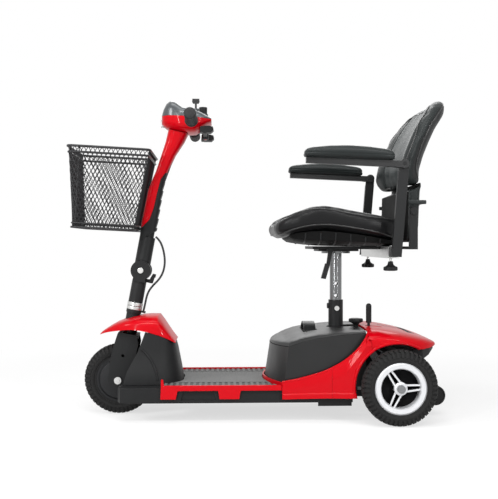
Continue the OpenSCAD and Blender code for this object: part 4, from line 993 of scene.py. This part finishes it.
class SCOOTER_OT_basket(bpy.types.Operator):
    """Models the basket: a diamond net on round rods"""

    bl_idname = "scooter.basket"
    bl_label = "Basket"

    corner = 0.016
    rim_rod = 0.0035
    # How far the net lies inside the rods, and how tall its diamonds are for their width
    inset = 0.0022
    wall_stretch, floor_stretch = 1.75, 1.5

    def level(self, ends):
        """Front, rear, half width, and height at the front and rear, in metres."""
        (x0, z0), (x1, z1), half = ends
        return FRONT_AXLE + x0 * MM, FRONT_AXLE + x1 * MM, half * MM, z0 * MM, z1 * MM

    def loop(self, level, share, into, rise):
        """Point on a rounded rectangle; share runs once round it and z leans to the rear."""
        x0, x1, half, z0, z1 = level
        x0, x1, half, bend = x0 + into, x1 - into, half - into, self.corner
        runs = [2 * (half - bend), math.pi / 2 * bend, x1 - x0 - 2 * bend, math.pi / 2 * bend] * 2
        at = (share % 1.0) * sum(runs)
        k = 0
        while at > runs[k] and k < 7:
            at -= runs[k]
            k += 1
        t = at / runs[k]
        # Middles of the four corners, in the order in which the loop meets them
        bends = [(x1 - bend, half - bend), (x0 + bend, half - bend),
                 (x0 + bend, bend - half), (x1 - bend, bend - half)]
        quarter, bent = divmod(k, 2)
        (from_x, from_y), (to_x, to_y) = bends[quarter - 1], bends[quarter]
        along = 1 if bent else t
        a = math.radians(90 * (quarter + t * bent))
        x = from_x + (to_x - from_x) * along + bend * math.cos(a)
        y = from_y + (to_y - from_y) * along + bend * math.sin(a)
        return Vector((x, y, z0 + rise + (z1 - z0) * (x - x0) / (x1 - x0)))

    def diamonds(self, name, cols, rows, to_place, strand):
        """A grid whose squares are poked and joined into diamonds, laid out and given strands."""
        bpy.ops.object.select_all(action="DESELECT")
        bpy.ops.mesh.primitive_grid_add(x_subdivisions=cols, y_subdivisions=rows, size=2)
        obj = bpy.context.object
        obj.name = obj.data.name = name
        edit(obj, "EDGE")
        bpy.ops.mesh.mark_sharp()
        bpy.ops.mesh.poke()
        done()
        put(obj, [to_place((x + 1) / 2, (y + 1) / 2) for x, y, _ in places(obj)])
        edit(obj, "EDGE")
        bpy.ops.mesh.remove_doubles(threshold=MERGE)
        pick(obj, lambda e: not e.smooth and len(e.link_faces) == 2, "edges")
        bpy.ops.mesh.dissolve_edges(use_verts=False)
        bpy.ops.mesh.select_all(action="SELECT")
        bpy.ops.mesh.mark_sharp(clear=True)
        weld()
        apply_modifier(obj, "WIREFRAME", thickness=strand, use_even_offset=True,
                       use_replace=True, use_boundary=True)
        smooth(obj, 40)
        return obj

    def execute(self, context):
        sizes = context.scene.scooter_sizes
        rim, base = self.level(BASKET_RIM), self.level(BASKET_FLOOR)
        inset = self.inset

        def wall_at(u, v, into=inset):
            foot = self.loop(base, u, into, 0)
            return foot.lerp(self.loop(rim, u, into, self.rim_rod), v)

        def floor_at(u, v):
            x = base[0] + inset + (base[1] - base[0] - 2 * inset) * u
            return Vector((x, (2 * v - 1) * (base[2] - inset),
                           base[3] + (base[4] - base[3]) * u))

        cols = round(2 * (rim[1] - rim[0] + 2 * rim[2]) / sizes.net_pitch)
        rows = round((rim[3] - base[3]) / (sizes.net_pitch * self.wall_stretch))
        walls = self.diamonds("net_walls", cols, rows, wall_at, sizes.net_strand)
        along = round((base[1] - base[0]) / sizes.net_pitch)
        across = round(2 * base[2] / sizes.net_pitch / self.floor_stretch)
        floor = self.diamonds("net_floor", along, across, floor_at, sizes.net_strand)
        rods = []
        turns = [i / 160 for i in range(160)]
        for name, v, into, lift, radius, resolution in (
                ("rim_rod", 1, 0, 0, self.rim_rod, 4), ("floor_rod", 0, 0, 0.0014, 0.0030, 3),
                ("rim_under_rod", 0.928, 0.001, 0, 0.0031, 3),
                ("floor_over_rod", 0.058, 0.001, 0, 0.0024, 3)):
            line = [wall_at(t, v, into) + Vector((0, 0, lift)) for t in turns]
            rods.append(tube(name, line, radius, resolution, closed=True))
        for t in (0.215, 0.285, 0.715, 0.785):
            line = [wall_at(t, v, 0.004) for v in (0, 1)]
            rods.append(tube("corner_rod", line, 0.0018, 2))
        wear(joined("basket_net", walls, floor, *rods), "net", "basket")
        return {"FINISHED"}


class SCOOTER_OT_cable(bpy.types.Operator):
    """Lays the control cable from the tiller past the fold joint to the fork"""

    bl_idname = "scooter.cable"
    bl_label = "Control cable"

    def execute(self, context):
        d = context.scene.scooter_sizes.cable_diameter
        points = [(FRONT_AXLE + x * MM, 0, z * MM) for x, z in CABLE_ROUTE]
        path = spline(points, 6)
        obj = tube("control_cable_sheath", path, d / 2)
        wear(obj, "sheath", "control_cable", rides=False)
        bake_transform(obj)
        return {"FINISHED"}


class SCOOTER_OT_seat_cushion(bpy.types.Operator):
    """Makes the seat cushion: a swollen vinyl cover with sewn channels and piping"""

    bl_idname = "scooter.seat_cushion"
    bl_label = "Seat cushion"

    def pan_ribs(self, pan):
        """Stiffening ribs up the flanks of the seat pan."""
        low = corners("seat_pan")[0]
        first, pitch, foot, rise, radius, flank = 0.040, 0.041, 0.004, 0.0042, 0.0024, 0.08
        ribs = []
        for side in SIDES:
            for rib in range(6):
                x = low.x + first + rib * pitch
                found = [beside(pan, x, low.z + foot + step * rise, side, flank)
                         for step in range(9)]
                line = [at for at in found if at is not None]
                if len(line) > 2:
                    ribs.append(tube("pan_rib", line, radius, 2))
        wear(joined("pan_ribs", *ribs), "coat", "seat_pan")

    def execute(self, context):
        obj = copy_of("seat_cushion", "seat_cushion_vinyl")
        remesh(obj, FOAM_VOXEL, passes=6)
        swollen(obj, passes=4)
        # The sewn channels run from front to rear and close in a little at both ends
        co = places(obj)
        up = np.clip(normals(obj)[:, 2] * 2, 0, 1)
        out, closing, half_length, width = 0.128, 0.012, 0.21, 0.0045
        channel = out - closing * ((co[:, 0] - SEAT_POST) / half_length) ** 2
        depth = context.scene.scooter_sizes.seam_depth
        press_line(obj, np.abs(np.abs(co[:, 1]) - channel), up, depth, width)
        smooth(obj, 60)
        wear(obj, "seat", "seat_cushion")
        lay_piping(
            obj, "seat_cushion", (SEAT_POST - 0.01, 0, 0), (1, 1, 0), (-1, 0, 0), 138, 0.0024,
            (("seat_top_piping", (0, 0, 1.1)), ("seat_foot_piping", (0, 0, -1))))
        self.pan_ribs(bpy.data.objects["seat_pan_finished"])
        return {"FINISHED"}


class SCOOTER_OT_backrest(bpy.types.Operator):
    """Makes the upholstered backrest with its channels and piping, and the moulded tail under it"""

    bl_idname = "scooter.backrest"
    bl_label = "Backrest"

    def cut(self, name, height, above):
        """A copy of the shell above or under a height, closed at the cut."""
        obj = copy_of("backrest_shell", name)
        edit(obj)
        bpy.ops.mesh.bisect(plane_co=(0, 0, height), plane_no=(0, 0, 1), use_fill=True,
                            clear_inner=above, clear_outer=not above)
        done()
        return obj

    def tail(self, split):
        """The moulded foot of the backrest, with its edges rounded off."""
        obj = self.cut("backrest_tail", split, False)
        remesh(obj, voxel=0.002, passes=2)
        smooth(obj, 50)
        wear(obj, "bolster", "backrest_shell")
        # The front of the tail is painted near black, darker than its sides
        paint(obj, "pan", lambda f: f.normal.x < -0.6)

    def channel(self, height):
        """How far from the middle the sewn channels of the front run at a height."""
        out, closing, start, rise = 0.120, 0.030, 0.74, 0.17
        return out - closing * np.clip((height - start) / rise, 0, 1) ** 2

    def execute(self, context):
        lap, overlap, seam_width = 0.006, 0.004, 0.004
        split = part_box("backrest_cushion")[0][2] + lap
        self.tail(split)
        cover = self.cut("backrest_cover", split - overlap, True)
        nudge(cover, (-overlap, 0, 0))
        pad = copy_of("backrest_cushion", "backrest_pad")
        obj = joined("backrest_cushion_vinyl", pad, cover)
        remesh(obj, FOAM_VOXEL, passes=4)
        swollen(obj, passes=9)
        co = places(obj)
        ahead = np.clip(-normals(obj)[:, 0] * 2, 0, 1)
        depth = context.scene.scooter_sizes.seam_depth * 0.8
        press_line(obj, np.abs(np.abs(co[:, 1]) - self.channel(co[:, 2])), ahead, depth,
                   seam_width)
        smooth(obj, 60)
        wear(obj, "back", "backrest_cushion")
        # Darker vinyl outside the channels and round the edge, and a moulded rear
        paint(obj, "bolster",
              lambda f: abs(f.center.y) > self.channel(f.center.z) or f.normal.x > 0.3)
        paint(obj, "black", lambda f: f.normal.x > 0.55)
        lay_piping(
            obj, "backrest_cushion", (0, 0, 0.775), (0, 1, 1), (0, 0, 1), 150, 0.0022,
            (("backrest_front_piping", (-1, 0, 0)), ("backrest_rear_piping", (1, 0, 0))))
        return {"FINISHED"}


class SCOOTER_OT_arm_pads(bpy.types.Operator):
    """Makes the two armrest pads, wrapped and seamed"""

    bl_idname = "scooter.arm_pads"
    bl_label = "Armrest pads"

    def execute(self, context):
        slope, seam_rise, seam_size = math.tan(math.radians(2)), 0.0115, 0.0016
        for side in ("left", "right"):
            node = f"arm_pad_{side}"
            obj = copy_of(node, f"arm_pad_{side}_vinyl")
            remesh(obj, voxel=0.003, passes=4)
            swell(obj, cap=0.002, pressure=3.0, frames=12)
            apply_modifier(obj, "SUBSURF", levels=1, render_levels=1)
            co = places(obj)
            low, high = co.min(0), co.max(0)
            seam = low[2] + seam_rise + (high[0] - co[:, 0]) * slope
            level = np.clip(1 - np.abs(normals(obj)[:, 2]) * 1.1, 0, 1)
            press_line(obj, np.abs(co[:, 2] - seam), level, seam_size, seam_size)
            smooth(obj, 60)
            wear(obj, "bolster", node)
        return {"FINISHED"}


class SCOOTER_OT_stage(bpy.types.Operator):
    """Sets the floor, the soft lights and the camera"""

    bl_idname = "scooter.stage"
    bl_label = "Stage"

    def pale_floor(self):
        """A pale finish that keeps the scooter's soft shadow and fades to plain white."""
        made = Finish("pale_floor", grey(0.80), roughness=1.0, specular_ior_level=0.0)
        near = made.node("ShaderNodeAddShader", None, {
            0: made.node("ShaderNodeBsdfDiffuse", None, {"Color": FLOOR_GREY}),
            1: made.white("ShaderNodeEmission", FLOOR_GLOW)})
        away = made.node(
            "ShaderNodeVectorMath", {"operation": "LENGTH"}, {0: made.place}, out="Value")
        fade = made.node("ShaderNodeMapRange", {"interpolation_type": "SMOOTHSTEP"}, {
            0: away, 1: FLOOR_FADE[0], 2: FLOOR_FADE[1]})
        shown = made.mixed(fade, near, made.white("ShaderNodeEmission", 1.0))
        both = made.mixed(made.seen(), Wire(made, made.shader.outputs[0]), shown)
        out = made.tree.nodes["Material Output"]
        made.tree.links.new(both.socket, out.inputs["Surface"])
        return made.material

    def world(self, scene):
        """White where it is looked at, and dimmer as light."""
        scene.world = scene.world or bpy.data.worlds.new("studio")
        scene.world.use_nodes = True
        nodes = Nodes(scene.world.node_tree)
        nodes.tree.nodes.clear()
        both = nodes.mixed(
            nodes.seen(), nodes.white("ShaderNodeBackground", WORLD_LIGHT),
            nodes.white("ShaderNodeBackground", 1.0))
        out = nodes.tree.nodes.new("ShaderNodeOutputWorld")
        nodes.tree.links.new(both.socket, out.inputs["Surface"])

    def execute(self, context):
        scene = context.scene
        bpy.ops.object.select_all(action="DESELECT")
        bpy.ops.mesh.primitive_grid_add(
            x_subdivisions=4, y_subdivisions=4, size=FLOOR_SIZE, location=FLOOR_MIDDLE)
        floor = context.object
        floor.name = "studio_floor"
        bpy.ops.object.transform_apply(location=True, rotation=True, scale=True)
        floor.data.materials.append(self.pale_floor())
        self.world(scene)
        for name, at, aim, size, power in LAMPS:
            lamp = bpy.data.lights.new(name, "AREA")
            lamp.shape = "RECTANGLE"
            lamp.size, lamp.size_y = size
            lamp.energy = power
            obj = bpy.data.objects.new(name, lamp)
            obj.location = at
            obj.rotation_euler = (Vector(aim) - Vector(at)).to_track_quat("-Z", "Y").to_euler()
            scene.collection.objects.link(obj)
        data = bpy.data.cameras.new("photo_camera")
        data.sensor_width = SENSOR
        data.lens = LENS
        camera = bpy.data.objects.new("photo_camera", data)
        camera.location = CAMERA_PLACE
        camera.rotation_euler = (
            math.radians(90 - CAMERA_DIP), 0, math.radians(CAMERA_TURN))
        scene.collection.objects.link(camera)
        scene.camera = camera
        scene.view_settings.view_transform = "Standard"
        return {"FINISHED"}


class SCOOTER_PT_looks(bpy.types.Panel):
    """Sizes, colours and steps of the scooter's looks"""

    bl_idname = "SCOOTER_PT_looks"
    bl_label = "Mobility scooter"
    bl_space_type = "VIEW_3D"
    bl_region_type = "UI"
    bl_category = "Scooter"

    def draw(self, context):
        for group in (context.scene.scooter_sizes, context.scene.scooter_colours):
            for key in group.__annotations__:
                self.layout.prop(group, key)
        for step in STEPS:
            self.layout.operator(step.bl_idname)


STEPS = (
    SCOOTER_OT_rigid_parts, SCOOTER_OT_cable, SCOOTER_OT_tyres, SCOOTER_OT_grips,
    SCOOTER_OT_knobs, SCOOTER_OT_basket, SCOOTER_OT_seat_cushion, SCOOTER_OT_backrest,
    SCOOTER_OT_arm_pads, SCOOTER_OT_stage,
)
CLASSES = (ScooterSizes, ScooterColours, *STEPS, SCOOTER_PT_looks)


def register():
    for made in CLASSES:
        bpy.utils.register_class(made)
    bpy.types.Scene.scooter_sizes = bpy.props.PointerProperty(type=ScooterSizes)
    bpy.types.Scene.scooter_colours = bpy.props.PointerProperty(type=ScooterColours)


def unregister():
    del bpy.types.Scene.scooter_colours
    del bpy.types.Scene.scooter_sizes
    for made in reversed(CLASSES):
        bpy.utils.unregister_class(made)


def main():
    register()
    bpy.ops.object.select_all(action="DESELECT")
    for step in STEPS:
        group, name = step.bl_idname.split(".")
        getattr(getattr(bpy.ops, group), name)()


if __name__ == "__main__":
    main()
